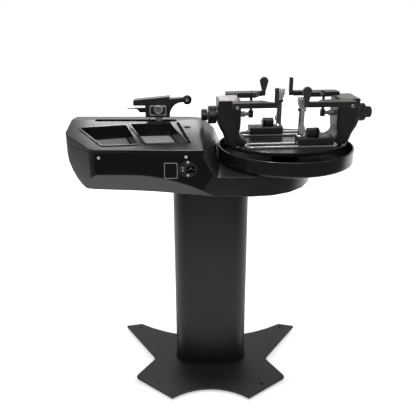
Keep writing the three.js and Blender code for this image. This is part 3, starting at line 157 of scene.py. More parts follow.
def softbox(name, place, aim, width, height, power):
    """A flat rectangular lamp that faces a point."""
    lamp = bpy.data.lights.new(name, "AREA")
    lamp.shape = "RECTANGLE"
    lamp.size, lamp.size_y, lamp.energy = width, height, power
    holder = bpy.data.objects.new(name, lamp)
    bpy.context.scene.collection.objects.link(holder)
    holder.location = place
    holder.rotation_euler = (Vector(aim) - Vector(place)).to_track_quat("-Z", "Y").to_euler()


softbox("softbox_back", (-0.315, 0.7, 1.385), (-0.2, 0.0, 0.9), width=0.6, height=0.14, power=2.35)
softbox("softbox_top", (0.1, 0.3, 2.9), middle, width=1.6, height=1.0, power=22)
softbox("softbox_left", (-1.9, -1.0, 1.5), middle, width=0.12, height=1.5, power=3)
softbox("softbox_right", (1.9, -0.9, 1.4), middle, width=0.3, height=1.4, power=3)
softbox("softbox_edge", (-0.165, -0.25, 2.3), (-0.12, -0.19, 0.86), width=0.17, height=0.05, power=11)

# Floor. A pale paper sheet under the machine that is white in the picture and keeps the shadow. The
# polished parts mirror it dark on the photographer's side, like the room.
floor_reach = 6
floor_white = (0.86, 0.86, 0.86, 1)
floor_shut = (0.02, 0.02, 0.02, 1)
floor_dark_at, floor_open_at = -2.2, -0.9
floor_lift = 0.5
lift_from, lift_to = 0.7, 2.4

sheet = bmesh.new()
bmesh.ops.create_circle(sheet, cap_ends=True, radius=floor_reach, segments=96)
floor_mesh = bpy.data.meshes.new("floor")
sheet.to_mesh(floor_mesh)
sheet.free()
floor = bpy.data.objects.new("floor", floor_mesh)
bpy.context.scene.collection.objects.link(floor)
floor_paper = bpy.data.materials.new("floor_paper")
floor_paper.use_nodes = True
paper = floor_paper.node_tree
spot = add(paper, "ShaderNodeTexCoord").outputs["Object"]
away = add(paper, "ShaderNodeVectorMath", {0: spot}, operation="LENGTH")
lifted = add(paper, "ShaderNodeMapRange",
             {"Value": away.outputs["Value"], "From Min": lift_from, "From Max": lift_to,
              "To Min": floor_lift})
mirrored, open_side, seen = mirrored_light(paper, spot, floor_dark_at, floor_open_at)
lift = result_of(paper, "MULTIPLY", seen, lifted.outputs["Result"])
shut = result_of(paper, "MULTIPLY", mirrored, result_of(paper, "SUBTRACT", 1.0, open_side))
sheet_tone = add(paper, "ShaderNodeMix", {"Factor": shut}, data_type="RGBA")
colours(sheet_tone, "inputs")[0].default_value = floor_white
colours(sheet_tone, "inputs")[1].default_value = floor_shut
paper_shader = paper.nodes["Principled BSDF"]
paper.links.new(colours(sheet_tone, "outputs")[0], paper_shader.inputs["Base Color"])
paper_shader.inputs["Roughness"].default_value = 0.9
paper_shader.inputs["Specular IOR Level"].default_value = 0.1
paper_shader.inputs["Emission Color"].default_value = (1, 1, 1, 1)
paper.links.new(lift, paper_shader.inputs["Emission Strength"])
floor_mesh.materials.append(floor_paper)


# Base plate. Flat steel with four splayed legs and a round-edged cut, powder coated in satin black
# with the slightly pebbled skin that baked powder has. One socket screw holds each foot.
def shader_group(name, inputs, outputs):
    """An empty node group with its named sockets, and its two ends."""
    tree = bpy.data.node_groups.new(name, "ShaderNodeTree")
    for label, value in inputs.items():
        kind = "NodeSocketVector" if hasattr(value, "__len__") else "NodeSocketFloat"
        tree.interface.new_socket(label, in_out="INPUT", socket_type=kind).default_value = value
    for label in outputs:
        tree.interface.new_socket(label, in_out="OUTPUT", socket_type="NodeSocketFloat")
    return tree, add(tree, "NodeGroupInput").outputs, add(tree, "NodeGroupOutput").inputs


def make_skin_group():
    """Mottle: cloudiness of a coat. Grain: its fine pebbles. Smudge: where hands have dulled it."""
    tree, given, out = shader_group(
        "coat_skin", {"Grain Scale": 900.0, "Stretch": (1.0, 1.0, 1.0)}, ["Mottle", "Grain", "Smudge"])
    spot = add(tree, "ShaderNodeTexCoord").outputs["Object"]
    stretched = add(tree, "ShaderNodeVectorMath", {0: spot, 1: given["Stretch"]}, operation="MULTIPLY")
    cloud = add(tree, "ShaderNodeTexNoise", {"Vector": spot, "Scale": 14.0, "Detail": 4.0})
    grain = add(tree, "ShaderNodeTexNoise",
                {"Vector": stretched.outputs[0], "Scale": given["Grain Scale"], "Detail": 2.0})
    wipe = add(tree, "ShaderNodeTexNoise",
               {"Vector": spot, "Scale": 7.0, "Detail": 6.0, "Roughness": 0.65, "Distortion": 1.2})
    smudge = add(tree, "ShaderNodeMapRange",
                 {"Value": wipe.outputs["Fac"], "From Min": 0.48, "From Max": 0.68})
    tree.links.new(cloud.outputs["Fac"], out["Mottle"])
    tree.links.new(grain.outputs["Fac"], out["Grain"])
    tree.links.new(smudge.outputs["Result"], out["Smudge"])
    return tree


def make_dust_group():
    """Specks and a thin veil of dust that lie only on what faces up."""
    tree, given, out = shader_group("settled_dust", {"Amount": 0.3}, ["Dust"])
    place = add(tree, "ShaderNodeTexCoord").outputs
    facing = add(tree, "ShaderNodeSeparateXYZ", {0: place["Normal"]})
    level = add(tree, "ShaderNodeMapRange", {"Value": facing.outputs["Z"], "From Min": 0.55})
    specks = add(tree, "ShaderNodeTexNoise", {"Vector": place["Object"], "Scale": 420.0, "Detail": 3.0})
    sharp = add(tree, "ShaderNodeMapRange",
                {"Value": specks.outputs["Fac"], "From Min": 0.5, "From Max": 0.8})
    lying = result_of(tree, "MULTIPLY", level.outputs["Result"], sharp.outputs["Result"])
    tree.links.new(result_of(tree, "MULTIPLY", lying, given["Amount"]), out["Dust"])
    return tree


coat_skin = make_skin_group()
settled_dust = make_dust_group()
dust_tone = (0.32, 0.31, 0.3, 1)


def finish(name, dark, light, roughness, spread=0.06, smudge=0.05, grain=900.0, relief=0.15,
           depth=0.0002, stretch=(1.0, 1.0, 1.0), metallic=0.0, specular=0.5, dust=0.0):
    """A surface between two tones, with pebbles or brush lines in its gloss and height."""
    made = bpy.data.materials.new(name)
    made.use_nodes = True
    tree = made.node_tree
    shader = tree.nodes["Principled BSDF"]
    skin = add(tree, "ShaderNodeGroup", node_tree=coat_skin)
    skin.inputs["Grain Scale"].default_value = grain
    skin.inputs["Stretch"].default_value = stretch
    tone = add(tree, "ShaderNodeMix", {"Factor": skin.outputs["Mottle"]}, data_type="RGBA")
    colours(tone, "inputs")[0].default_value = (*dark, 1)
    colours(tone, "inputs")[1].default_value = (*light, 1)
    colour = colours(tone, "outputs")[0]
    if dust:
        veil = add(tree, "ShaderNodeGroup", node_tree=settled_dust)
        veil.inputs["Amount"].default_value = dust
        dusty = add(tree, "ShaderNodeMix", {"Factor": veil.outputs["Dust"]}, data_type="RGBA")
        tree.links.new(colour, colours(dusty, "inputs")[0])
        colours(dusty, "inputs")[1].default_value = dust_tone
        colour = colours(dusty, "outputs")[0]
    fine = add(tree, "ShaderNodeMapRange",
               {"Value": skin.outputs["Grain"], "To Min": roughness - spread,
                "To Max": roughness + spread}).outputs["Result"]
    dulled = result_of(tree, "MULTIPLY_ADD", skin.outputs["Smudge"], smudge, fine)
    bump = add(tree, "ShaderNodeBump",
               {"Height": skin.outputs["Grain"], "Strength": relief, "Distance": depth})
    tree.links.new(colour, shader.inputs["Base Color"])
    tree.links.new(dulled, shader.inputs["Roughness"])
    tree.links.new(bump.outputs[0], shader.inputs["Normal"])
    shader.inputs["Metallic"].default_value = metallic
    shader.inputs["Specular IOR Level"].default_value = specular
    return made


def grey(value):
    """A neutral tone."""
    return (value, value, value)


def give(node, material):
    """Puts a finish on a CAD node, in place of the plain one it came with."""
    mesh = frame["nodes"][node].data
    mesh.materials.clear()
    mesh.materials.append(material)


def finished(name, shape, materials, body, sharp=35):
    """Makes a piece of a bmesh, smooth but for its sharp edges, that rides on its body."""
    mesh = bpy.data.meshes.new(name)
    shape.to_mesh(mesh)
    shape.free()
    mesh.shade_smooth()
    mesh.set_sharp_from_angle(angle=math.radians(sharp))
    for material in materials:
        mesh.materials.append(material)
    piece = bpy.data.objects.new(name, mesh)
    bpy.context.scene.collection.objects.link(piece)
    even = piece.modifiers.new("even_normals", "WEIGHTED_NORMAL")
    even.keep_sharp = True
    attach(piece, body)
    return piece


def stand_in(node, shape, materials, sharp=35):
    """Puts a made body in a CAD node's place, on that node's body."""
    piece = finished(node + "_form", shape, materials, frame["nodes"][node]["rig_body"], sharp)
    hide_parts(node)
    return piece


def rounded(shape, radius, steps=3, sharp=32, chosen=None):
    """Rounds the edges that turn by more than the given angle, or only the chosen ones among them."""
    crisp = [edge for edge in shape.edges
             if len(edge.link_faces) == 2 and edge.calc_face_angle(0) > math.radians(sharp)
             and (chosen is None or chosen(edge))]
    bmesh.ops.bevel(shape, geom=crisp, offset=radius, offset_type="OFFSET", affect="EDGES",
                    segments=steps, profile=0.5, material=-1, clamp_overlap=False)
    return shape


def from_node(node):
    """A copy of a CAD node's mesh with its flats made whole."""
    shape = bmesh.new()
    shape.from_mesh(frame["nodes"][node].data)
    bmesh.ops.remove_doubles(shape, verts=shape.verts, dist=0.00002)
    bmesh.ops.dissolve_limit(shape, angle_limit=math.radians(0.2), verts=shape.verts, edges=shape.edges)
    return shape


def softened(node, material, radius=0.0008, steps=2, sharp=32, second=None, where=None,
             broad=None):
    """Stands for a CAD node: its own form with the sharp edges rounded, in one or two finishes.

    The second finish goes where a face's middle says so. Broad is a larger radius and the edges, by
    their two ends, that get it first.
    """
    shape = from_node(node)
    bmesh.ops.triangulate(shape, faces=[face for face in shape.faces if len(face.verts) > 4])
    if broad:
        broad_radius, picked = broad
        rounded(shape, broad_radius, steps=5, sharp=sharp,
                chosen=lambda edge: picked(edge.verts[0].co, edge.verts[1].co))
    shortest = 2.2 * radius
    rounded(shape, radius, steps, sharp, lambda edge: edge.calc_length() > shortest)
    for face in shape.faces:
        face.material_index = int(bool(where and where(face.calc_center_median())))
    return stand_in(node, shape, [material, second] if second else [material], sharp + 8)


def spun(profile, steps=64):
    """A body turned about Z from (radius, height) points that start and end on the axis or close up."""
    shape = bmesh.new()
    points = [shape.verts.new((radius, 0, height)) for radius, height in profile]
    lines = [shape.edges.new(pair) for pair in zip(points, points[1:])]
    bmesh.ops.spin(shape, geom=points + lines, cent=(0, 0, 0), axis=(0, 0, 1), angle=2 * math.pi,
                   steps=steps, use_merge=True)
    bmesh.ops.remove_doubles(shape, verts=shape.verts, dist=0.000001)
    bmesh.ops.recalc_face_normals(shape, faces=shape.faces)
    return shape


def set_at(shape, place, towards=(0, 0, 1), frame_matrix=None):
    """Moves a body's Z axis to a place and a direction, in a frame of its own if one is given."""
    turn = Vector(towards).to_track_quat("Z", "Y").to_matrix().to_4x4()
    shape.transform((frame_matrix or Matrix()) @ Matrix.Translation(place) @ turn)
    return shape


def lofted(rings):
    """A closed body through level rings, each its sides, its place and its two half widths."""
    shape = bmesh.new()
    loops = []
    for sides, place, across, deep in rings:
        matrix = Matrix.Translation(place) @ Matrix.Diagonal((across, deep, 1, 1))
        ring = bmesh.ops.create_circle(shape, segments=sides, radius=1, cap_ends=False,
                                       matrix=matrix)["verts"]
        loops.append(list({edge for vert in ring for edge in vert.link_edges}))
    for lower, upper in zip(loops, loops[1:]):
        bmesh.ops.bridge_loops(shape, edges=lower + upper)
    bmesh.ops.holes_fill(shape, edges=[edge for edge in shape.edges if edge.is_boundary])
    bmesh.ops.recalc_face_normals(shape, faces=shape.faces)
    return shape


def screw_head(radius, rise):
    """A domed screw head with a hexagon socket, standing on the plane it holds."""
    rings = ((24, 1, -0.3), (24, 1, 0.35), (24, 0.86, 0.85), (24, 0.6, 1), (6, 0.42, 1), (6, 0.4, 0.3))
    return lofted([(sides, (0, 0, height * rise), size * radius, size * radius)
                   for sides, size, height in rings])


def screw(name, place, towards, radius, body, material, rise=0.0018, frame_matrix=None):
    """A socket screw's head on the plane that it holds."""
    head = set_at(screw_head(radius, rise), place, towards, frame_matrix)
    return finished(name, head, [material], body, sharp=40)


powder_black = finish("powder_black", grey(0.018), grey(0.027), 0.46, spread=0.08, grain=1400.0,
                      relief=0.35, dust=0.06)
softened("base_plate", powder_black, radius=0.0016, steps=3)
dark_steel = finish("dark_steel", grey(0.06), grey(0.09), 0.3, spread=0.05, relief=0.08, metallic=1.0)
foot_rubber = finish("foot_rubber", grey(0.012), grey(0.02), 0.85, grain=600.0, relief=0.4)
plate_top = 0.016
for foot in ("foot_near_left", "foot_near_right", "foot_far_left", "foot_far_right"):
    give(foot, foot_rubber)
    low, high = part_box(foot)
    screw(f"screw_{foot}", ((low.x + high.x) / 2, (low.y + high.y) / 2, plate_top), (0, 0, 1),
          0.0055, "stand", dark_steel, rise=0.0026)

# Column. An oval aluminium extrusion in satin black lacquer that stands on the base plate in a thin
# rubber bead.
column_lacquer = finish("column_lacquer", grey(0.008), grey(0.011), 0.38, spread=0.05, grain=500.0,
                        relief=0.06, stretch=(1.0, 1.0, 0.06), specular=0.32)
softened("column", column_lacquer, radius=0.0006, steps=2, sharp=40)
column_width, column_depth = 0.25, 0.12


def flat_plate(length, width, corner, steps=4):
    """A flat face with rounded corners."""
    shape = bmesh.new()
    bmesh.ops.create_grid(shape, x_segments=1, y_segments=1, size=0.5)
    bmesh.ops.scale(shape, vec=(length, width, 1), verts=shape.verts)
    bmesh.ops.bevel(shape, geom=shape.verts, offset=corner, affect="VERTICES", segments=steps,
                    profile=0.5, material=-1)
    return shape


def stadium(length, width, steps=24):
    """A flat face with round ends."""
    return flat_plate(length, width, 0.4999 * width, steps)


def thickened(shape, way):
    """Gives a flat face its thickness in the given direction."""
    lifted = bmesh.ops.extrude_face_region(shape, geom=shape.faces[:])["geom"]
    bmesh.ops.translate(shape, vec=way, verts=[item for item in lifted
                                               if isinstance(item, bmesh.types.BMVert)])
    bmesh.ops.recalc_face_normals(shape, faces=shape.faces)
    return shape


def raised(shape, thickness):
    """Gives a flat face its thickness upwards."""
    return thickened(shape, (0, 0, thickness))


def border_faces(shape, width):
    """The faces of an even border inside a flat face's outline."""
    return bmesh.ops.inset_region(shape, faces=shape.faces[:], thickness=width, use_boundary=True,
                                  use_even_offset=True)["faces"]


def keep_border(shape, width):
    """Leaves only the border of a flat face."""
    border = border_faces(shape, width)
    bmesh.ops.delete(shape, geom=[face for face in shape.faces if face not in border], context="FACES")


bead_width, bead_height, bead_round, bead_play = 0.003, 0.0035, 0.0012, 0.0001
column_low, column_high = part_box("column")
bead = stadium(column_width + 2 * bead_width, column_depth + 2 * bead_width)
keep_border(bead, bead_width - bead_play)
rounded(raised(bead, bead_height), bead_round,
        chosen=lambda edge: min(vert.co.z for vert in edge.verts) > 0.5 * bead_height)
set_at(bead, ((column_low.x + column_high.x) / 2, (column_low.y + column_high.y) / 2, plate_top))
finished("column_bead", bead, [foot_rubber], "stand")

# Housing. Two black plastic mouldings, the lower shell and the top cover, that meet in a level seam
# above the panel. Their edges are rounded, the cover's near edge most, and the shell is glossier.
hull_satin = finish("hull_satin", grey(0.014), grey(0.019), 0.24, spread=0.03, smudge=0.06,
                    relief=0.015)
cover_satin = finish("cover_satin", grey(0.006), grey(0.009), 0.29, spread=0.03, smudge=0.03,
                     grain=1100.0, relief=0.04, dust=0.01)
near_edge_y = -0.186
softened("lower_shell", hull_satin, radius=0.002, steps=3, sharp=25)
softened("top_cover", cover_satin, radius=0.0012, steps=3, sharp=25,
         broad=(0.003, lambda *ends: all(end.y < near_edge_y for end in ends)))
ridge_height, ridge_y, roof_slope = 0.905, 0.012, 0.22
roof = Matrix.Translation((0, ridge_y, ridge_height)) @ Matrix.Rotation(math.atan(roof_slope), 4, "X")


def on_roof(x, y):
    """A place on the slanted roof, from its place in plan."""
    return Vector((x, (y - ridge_y) * math.hypot(1, roof_slope), 0))


# Strip beside the right tray. A narrow black strip pressed into the cover, its nearly sheenless black
# painted shade for the dark slit there, with a thin grey lip whose light tone is a painted highlight on
# the slit's edge, and an oval plastic plug over the cover screw behind it.
strip_width, strip_thick, strip_sunk = 0.0095, 0.0018, 0.0006
lip_width, lip_thick, lip_round = 0.0018, 0.0015, 0.0005
lip_share, lip_shift, lip_side = 0.5, 0.22, 0.0059
strip_start, strip_end = on_roof(-0.1392, -0.006), on_roof(-0.0972, -0.143)
strip_run = strip_end - strip_start
strip_turn = Matrix.Rotation(math.atan2(strip_run.y, strip_run.x), 4, "Z")
strip_place = roof @ Matrix.Translation((strip_start + strip_end) / 2) @ strip_turn
# Almost black with hardly any sheen: painted shade for the slit beside the tray.
slit_painted_shade = finish("slit_painted_shade", grey(0.002), grey(0.003), 0.7, relief=0.1, specular=0.04)
rim_black = finish("rim_black", grey(0.004), grey(0.006), 0.3, spread=0.05, relief=0.1, specular=0.3)
strip = rounded(raised(stadium(strip_run.length, strip_width), strip_thick), lip_round, steps=2)
finished("roof_strip", set_at(strip, (0, 0, -strip_sunk), frame_matrix=strip_place), [slit_painted_shade],
         "stand")
# The lip's light grey is a painted highlight along the slit's edge.
lip_painted_highlight = finish("lip_painted_highlight", grey(0.2), grey(0.27), 0.4, spread=0.05, grain=1500.0, relief=0.08)
lip = stadium(lip_share * strip_run.length, lip_width)
rounded(raised(lip, lip_thick), lip_round, steps=2)
set_at(lip, (lip_shift * strip_run.length, lip_side, 0), frame_matrix=strip_place)
finished("roof_strip_lip", lip, [lip_painted_highlight], "stand")
plug = spun([(0, 0.0026), (0.6, 0.0024), (0.86, 0.0016), (1.0, 0.0), (1.0, -0.0006), (0, -0.0006)],
            steps=48)
plug_length, plug_width, plug_spot = 0.0105, 0.0062, on_roof(-0.1072, -0.037)
bmesh.ops.scale(plug, vec=(plug_length, plug_width, 1), verts=plug.verts)
finished("roof_plug", set_at(plug, plug_spot, frame_matrix=roof), [rim_black], "stand")

# Trays. Two black plastic tubs with a thin rim, dropped into the cover. On the left one's floor lies a
# plain dark rubber mat, on the right one's a thicker mat of speckled grey crumb rubber.
tray_gloss = finish("tray_gloss", grey(0.008), grey(0.012), 0.2, spread=0.05, relief=0.05, dust=0.03)
mat_dark = finish("mat_dark", grey(0.1), grey(0.14), 0.6, spread=0.1, relief=0.5)


def make_speckled_mat():
    """Grey crumb rubber: coarse light and dark crumbs pressed into one sheet."""
    made = finish("mat_speckled", grey(0.3), grey(0.4), 0.75, spread=0.1, grain=700.0, relief=0.6,
                  depth=0.0006)
    tree = made.node_tree
    gap_tone = (0.05, 0.05, 0.05, 1)
    shader = tree.nodes["Principled BSDF"]
    base = shader.inputs["Base Color"].links[0].from_socket
    spot = add(tree, "ShaderNodeTexCoord").outputs["Object"]
    crumbs = add(tree, "ShaderNodeTexVoronoi", {"Vector": spot, "Scale": 520.0})
    dark = add(tree, "ShaderNodeMapRange",
               {"Value": crumbs.outputs["Distance"], "From Min": 0.25, "From Max": 0.65, "To Max": 0.7})
    mix = add(tree, "ShaderNodeMix", {"Factor": dark.outputs["Result"]}, data_type="RGBA")
    tree.links.new(base, colours(mix, "inputs")[0])
    colours(mix, "inputs")[1].default_value = gap_tone
    tree.links.new(colours(mix, "outputs")[0], shader.inputs["Base Color"])
    return made


def lining(node, material, gap, thickness):
    """A mat on a tray's floor, cut from the floor's own outline."""
    mat = from_node(node)
    facing_up, level_play = 0.9, 0.001

    def level(face):
        """How high a face lies over the slant of the roof."""
        return face.calc_center_median().z - roof_slope * face.calc_center_median().y

    lowest = min(level(face) for face in mat.faces if face.normal.z > facing_up)
    others = [face for face in mat.faces
              if face.normal.z < facing_up or level(face) > lowest + level_play]
    bmesh.ops.delete(mat, geom=others, context="FACES")
    bmesh.ops.dissolve_faces(mat, faces=mat.faces[:])
    out_of_floor = mat.faces[:][0].normal.copy()
    bmesh.ops.delete(mat, geom=border_faces(mat, gap), context="FACES")
    rounded(thickened(mat, thickness * out_of_floor), 0.0008, steps=2, sharp=60)
    return finished(node.replace("insert", "mat"), mat, [material], "stand")


softened("tray_insert_left", tray_gloss, radius=0.0005)
softened("tray_insert_right", tray_gloss, radius=0.0005)
lining("tray_insert_left", mat_dark, gap=0.002, thickness=0.0016)
lining("tray_insert_right", make_speckled_mat(), gap=0.002, thickness=0.003)

# Back panel. A black anodised plate in the near wall, held by two bright screws, with a blank rating
# plate in a thin silver border, drawn as plain light grey without metal sheen: a painted reflection.
panel_black = finish("panel_black", grey(0.006), grey(0.009), 0.35, spread=0.05, grain=1200.0,
                     relief=0.1, specular=0.12)
softened("back_panel", panel_black, radius=0.0005)
panel_face = -0.188
nickel = finish("nickel", grey(0.78), grey(0.86), 0.28, spread=0.05, relief=0.05, metallic=0.35)
for side, x, z in (("left", -0.3586, 0.8386), ("right", -0.1065, 0.8416)):
    screw(f"panel_screw_{side}", (x, panel_face, z), (0, -1, 0), 0.0045, "stand", nickel)
# Plain light grey with no metal sheen: a painted reflection standing for a silver border's shine.
border_painted_reflection = finish("border_painted_reflection", grey(0.55), grey(0.65), 0.4, spread=0.05, grain=1500.0, relief=0.08)
rating_x, rating_z = -0.1512, 0.8
plate_width, plate_height, plate_thick, plate_border = 0.038, 0.047, 0.0005, 0.001
rating = flat_plate(plate_width, plate_height, corner=0.002)
for face in border_faces(rating, plate_border):
    face.material_index = 1
raised(rating, plate_thick)
set_at(rating, (rating_x, panel_face, rating_z), (0, -1, 0))
finished("rating_plate", rating, [rim_black, border_painted_reflection], "stand")

# Power inlet. An eight-cornered black moulding, held by two screws, with a three-pin socket and a
# rocker switch. White paint marks the rocker's two sides, a stroke for on and a ring for off.
socket_plastic = finish("socket_plastic", grey(0.013), grey(0.02), 0.38, grain=1500.0)
socket_dark = finish("socket_dark", grey(0.004), grey(0.006), 0.5, relief=0.1, specular=0.2)
flange_y, socket_from, inlet_screw_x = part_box("inlet_housing")[0].y, 0.0015, -0.1012
softened("inlet_housing", socket_plastic, radius=0.0005, second=socket_dark,
         where=lambda place: place.y > flange_y + socket_from)
for side, z in (("top", 0.8266), ("bottom", 0.7872)):
    screw(f"inlet_screw_{side}", (inlet_screw_x, flange_y, z), (0, -1, 0), 0.0038, "stand", nickel)
socket_x, socket_z, socket_deep = -0.0932, 0.805, 0.0172
pin_width, pin_thick, pin_length = 0.0043, 0.0023, 0.0132
for label, x, z in (("left", -0.007, -0.002), ("right", 0.007, -0.002), ("earth", 0.0, 0.002)):
    pin = rounded(raised(stadium(pin_width, pin_thick, steps=6), pin_length), 0.0004, steps=2, sharp=60)
    set_at(pin, (socket_x + x, flange_y + socket_deep, socket_z + z), (0, -1, 0))
    finished(f"inlet_pin_{label}", pin, [nickel], "stand")
softened("rocker_switch", socket_plastic, radius=0.0004)
mark_white = finish("mark_white", grey(0.6), grey(0.7), 0.5, relief=0.05)
mark_thick = 0.0002
rocker = from_node("rocker_switch")
rocker_faces = sorted((face for face in rocker.faces if face.normal.y < -0.9),
                      key=lambda face: face.calc_area())[-2:]
rocker_sides = sorted(((face.calc_center_median(), face.normal.copy()) for face in rocker_faces),
                      key=lambda side: side[0].z)
rocker.free()
stroke_on = raised(stadium(0.0044, 0.001, steps=3), mark_thick)
rounded(stroke_on, 0.00005, steps=1, sharp=60)
stroke_on.transform(Matrix.Rotation(math.pi / 2, 4, "Z"))
ring_off = spun([(0.0013, 0), (0.0021, 0), (0.0021, mark_thick), (0.0013, mark_thick), (0.0013, 0)],
                steps=32)
for label, mark, (mark_spot, mark_way) in (("off", ring_off, rocker_sides[0]),
                                           ("on", stroke_on, rocker_sides[1])):
    finished(f"rocker_mark_{label}", set_at(mark, mark_spot, mark_way), [mark_white],
             frame["nodes"]["rocker_switch"]["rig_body"])

# Operator's panel. A matte black plastic plate on the far slope, with a tinted window that shows red
# digits and two rubber keys, each with a white arrow.
give("control_panel", socket_plastic)
window_dark = finish("window_dark", (0.02, 0.006, 0.006), (0.03, 0.008, 0.008), 0.06, spread=0.01,
                     relief=0.0)
give("display_window", window_dark)
far_slope, slope_crest, crest_to_panel = 0.3032, (-0.26919, 0.057, 0.907), 0.07402
operator = (Matrix.Translation(slope_crest) @ Matrix.Rotation(-math.atan(far_slope), 4, "X")
            @ Matrix.Translation((0, crest_to_panel, 0)) @ Matrix.Rotation(math.pi, 4, "Z"))
digit_red = finish("digit_red", (0.55, 0.02, 0.01), (0.65, 0.03, 0.015), 0.4, relief=0.0)
digit_glow = digit_red.node_tree.nodes["Principled BSDF"].inputs
digit_glow["Emission Color"].default_value = (1, 0.06, 0.03, 1)
digit_glow["Emission Strength"].default_value = 0.7
digit_height, digit_width, digit_step, bar, bar_thick = 0.018, 0.0098, 0.0148, 0.0019, 0.0003
segments = {"a": (0, 1, 0), "b": (0.5, 0.5, 1), "c": (0.5, -0.5, 1), "d": (0, -1, 0),
            "e": (-0.5, -0.5, 1), "f": (-0.5, 0.5, 1), "g": (0, 0, 0)}
shown = {"2": "abged", "5": "afgcd", "0": "abcdef"}
window_x, window_top = 0.055, 0.0026


def merged(whole, part):
    """Takes one body up into another."""
    held = bpy.data.meshes.new("held")
    part.to_mesh(held)
    part.free()
    whole.from_mesh(held)
    bpy.data.meshes.remove(held)


lit = bmesh.new()
for place, digit in enumerate("250"):
    for label in shown[digit]:
        across, up, upright = segments[label]
        bar_length = (digit_height / 2 if upright else digit_width) - bar
        stroke = rounded(raised(stadium(bar_length, bar, steps=3), bar_thick), 0.0001, steps=1)
        spot_x = window_x + (place - 1) * digit_step + across * digit_width
        spot_y = up * digit_height / 2
        turn = Matrix.Rotation(math.pi / 2 if upright else 0, 4, "Z")
        stroke.transform(operator @ Matrix.Translation((spot_x, spot_y, window_top)) @ turn)
        merged(lit, stroke)
finished("display_digits", lit, [digit_red], "stand")
key_rubber = finish("key_rubber", grey(0.05), grey(0.07), 0.7, grain=1200.0, relief=0.3)
for key in ("key_down", "key_up"):
    softened(key, key_rubber, radius=0.0009, steps=3)
arrow_points = ((-0.003, -0.002), (0.003, -0.002), (0, 0.003))
for key, way in (("key_up", 1), ("key_down", -1)):
    key_points = [operator.inverted() @ vert.co for vert in frame["nodes"][key].data.vertices]
    key_x, key_y = ((min(point[axis] for point in key_points)
                     + max(point[axis] for point in key_points)) / 2 for axis in (0, 1))
    key_top = max(point.z for point in key_points)
    arrow = bmesh.new()
    arrow.faces.new([arrow.verts.new((x, way * y, 0)) for x, y in arrow_points])
    raised(arrow, mark_thick)
    arrow.transform(operator @ Matrix.Translation((key_x, key_y, key_top)))
    finished(f"{key}_mark", arrow, [mark_white], frame["nodes"][key]["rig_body"])

# Inside. An aluminium chassis on the shell's four posts carries two ground steel rods, the motor with
# the rubber belt on its two pulleys, the power supply and the green lacquered board.
bright = finish("bright_steel", grey(0.62), grey(0.76), 0.17, spread=0.04, grain=700.0, relief=0.06,
                metallic=0.72)
brushed = finish("brushed_aluminium", grey(0.42), grey(0.52), 0.32, relief=0.1,
                 stretch=(0.03, 1.0, 1.0), metallic=1.0)
for node in ("chassis", "idler_pulley", "drive_pulley", "power_supply"):
    give(node, brushed)
for node in ("guide_rod_near", "guide_rod_far", "drive_motor"):
    give(node, bright)
give("drive_belt", foot_rubber)
board_lacquer = finish("board_lacquer", (0.01, 0.09, 0.03), (0.015, 0.13, 0.045), 0.35)
give("circuit_board", board_lacquer)

# Tension head. A black painted casting with a slanted top bar and a roller arm, on the steel mast of
# the carriage that slides in the slot. Four screws hold its side plate, which has a silver border drawn
# as plain light grey without metal sheen, a painted reflection.
casting_black = finish("casting_black", grey(0.018), grey(0.026), 0.4, spread=0.08, grain=1100.0,
                       relief=0.22, specular=0.36, dust=0.02)
head = Matrix.Translation((-0.19819, 0.012, 0.9175))
plate_y, trim_x, trim_z, trim_sunk, screw_sunk = -0.0213, -0.001, 0.022, 0.0004, 0.0002
trim_width, trim_height, trim_border, trim_thick = 0.0505, 0.0295, 0.0014, 0.0011
softened("tension_head", casting_black, radius=0.0013, steps=3)
softened("tension_carriage", bright, radius=0.0005)
head_trim = flat_plate(trim_width, trim_height, corner=0.0025)
keep_border(head_trim, trim_border)
rounded(raised(head_trim, trim_thick), 0.0003, steps=1, sharp=60)
set_at(head_trim, (trim_x, plate_y + trim_sunk, trim_z), (0, -1, 0), head)
# Its light grey is a painted reflection of the silver border's shine.
finished("head_plate_border", head_trim, [border_painted_reflection], "tensioner")
for corner, x, z in (("a", -0.022, 0.0335), ("b", 0.02, 0.0335), ("c", -0.022, 0.0105),
                     ("d", 0.02, 0.0105)):
    screw(f"head_screw_{corner}", (x, plate_y + screw_sunk, z), (0, -1, 0), 0.0021, "tensioner",
          bright, rise=0.001, frame_matrix=head)


# Force knob. A turned grip of grey aluminium with straight flutes round a dark face with a raised
# ring, on a stem that goes through the side plate.
def knurled(profile, count, depth, inner):
    """A turned grip whose skin is cut into straight flutes wherever it is wider than its inner part."""
    grip = spun(profile, 2 * count)
    step = math.pi / count
    for vert in grip.verts:
        radius = vert.co.xy.length
        if radius > inner and round(math.atan2(vert.co.y, vert.co.x) / step) % 2:
            vert.co.xy *= (radius - depth) / radius
    return grip


knob_x, knob_z, knob_front, face_reach, face_from = 0.001, 0.026, 0.0104, 0.0096, 0.005
knob_back_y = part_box("force_knob")[0].y - head.translation.y
knob = knurled([(0, 0.0092), (0.006, 0.0092), (0.0065, 0.0097), (0.0095, 0.0097), (0.0102, 0.0104),
                (0.0118, 0.0104), (0.014, 0.0088), (0.014, 0.0012), (0.0128, 0.0), (0.0038, 0.0),
                (0.0038, -0.015), (0, -0.015)], count=36, depth=0.0008, inner=0.0135)
for face in knob.faces:
    middle_of_face = face.calc_center_median()
    face.material_index = int(middle_of_face.xy.length < face_reach and middle_of_face.z > face_from)
set_at(knob, (knob_x, knob_back_y + knob_front, knob_z), (0, -1, 0), head)
grip_grey = finish("grip_grey", grey(0.3), grey(0.4), 0.35, spread=0.08, grain=1200.0, metallic=0.4)
knob_face = finish("knob_face", grey(0.1), grey(0.16), 0.4, spread=0.08, grain=1500.0, relief=0.3)
stand_in("force_knob", knob, [grip_grey, knob_face], sharp=25)


# Nose roller. A turned black roller with a groove for the string, on a steel pin that goes through
# the fork of the arm and shows its two bright ends.
def turned(name, profile, place, way, here, material, body, steps=48):
    """Makes a turned piece of trim in its place."""
    shape = set_at(spun(profile, steps), place, way, here)
    return finished(name, shape, [material], body)


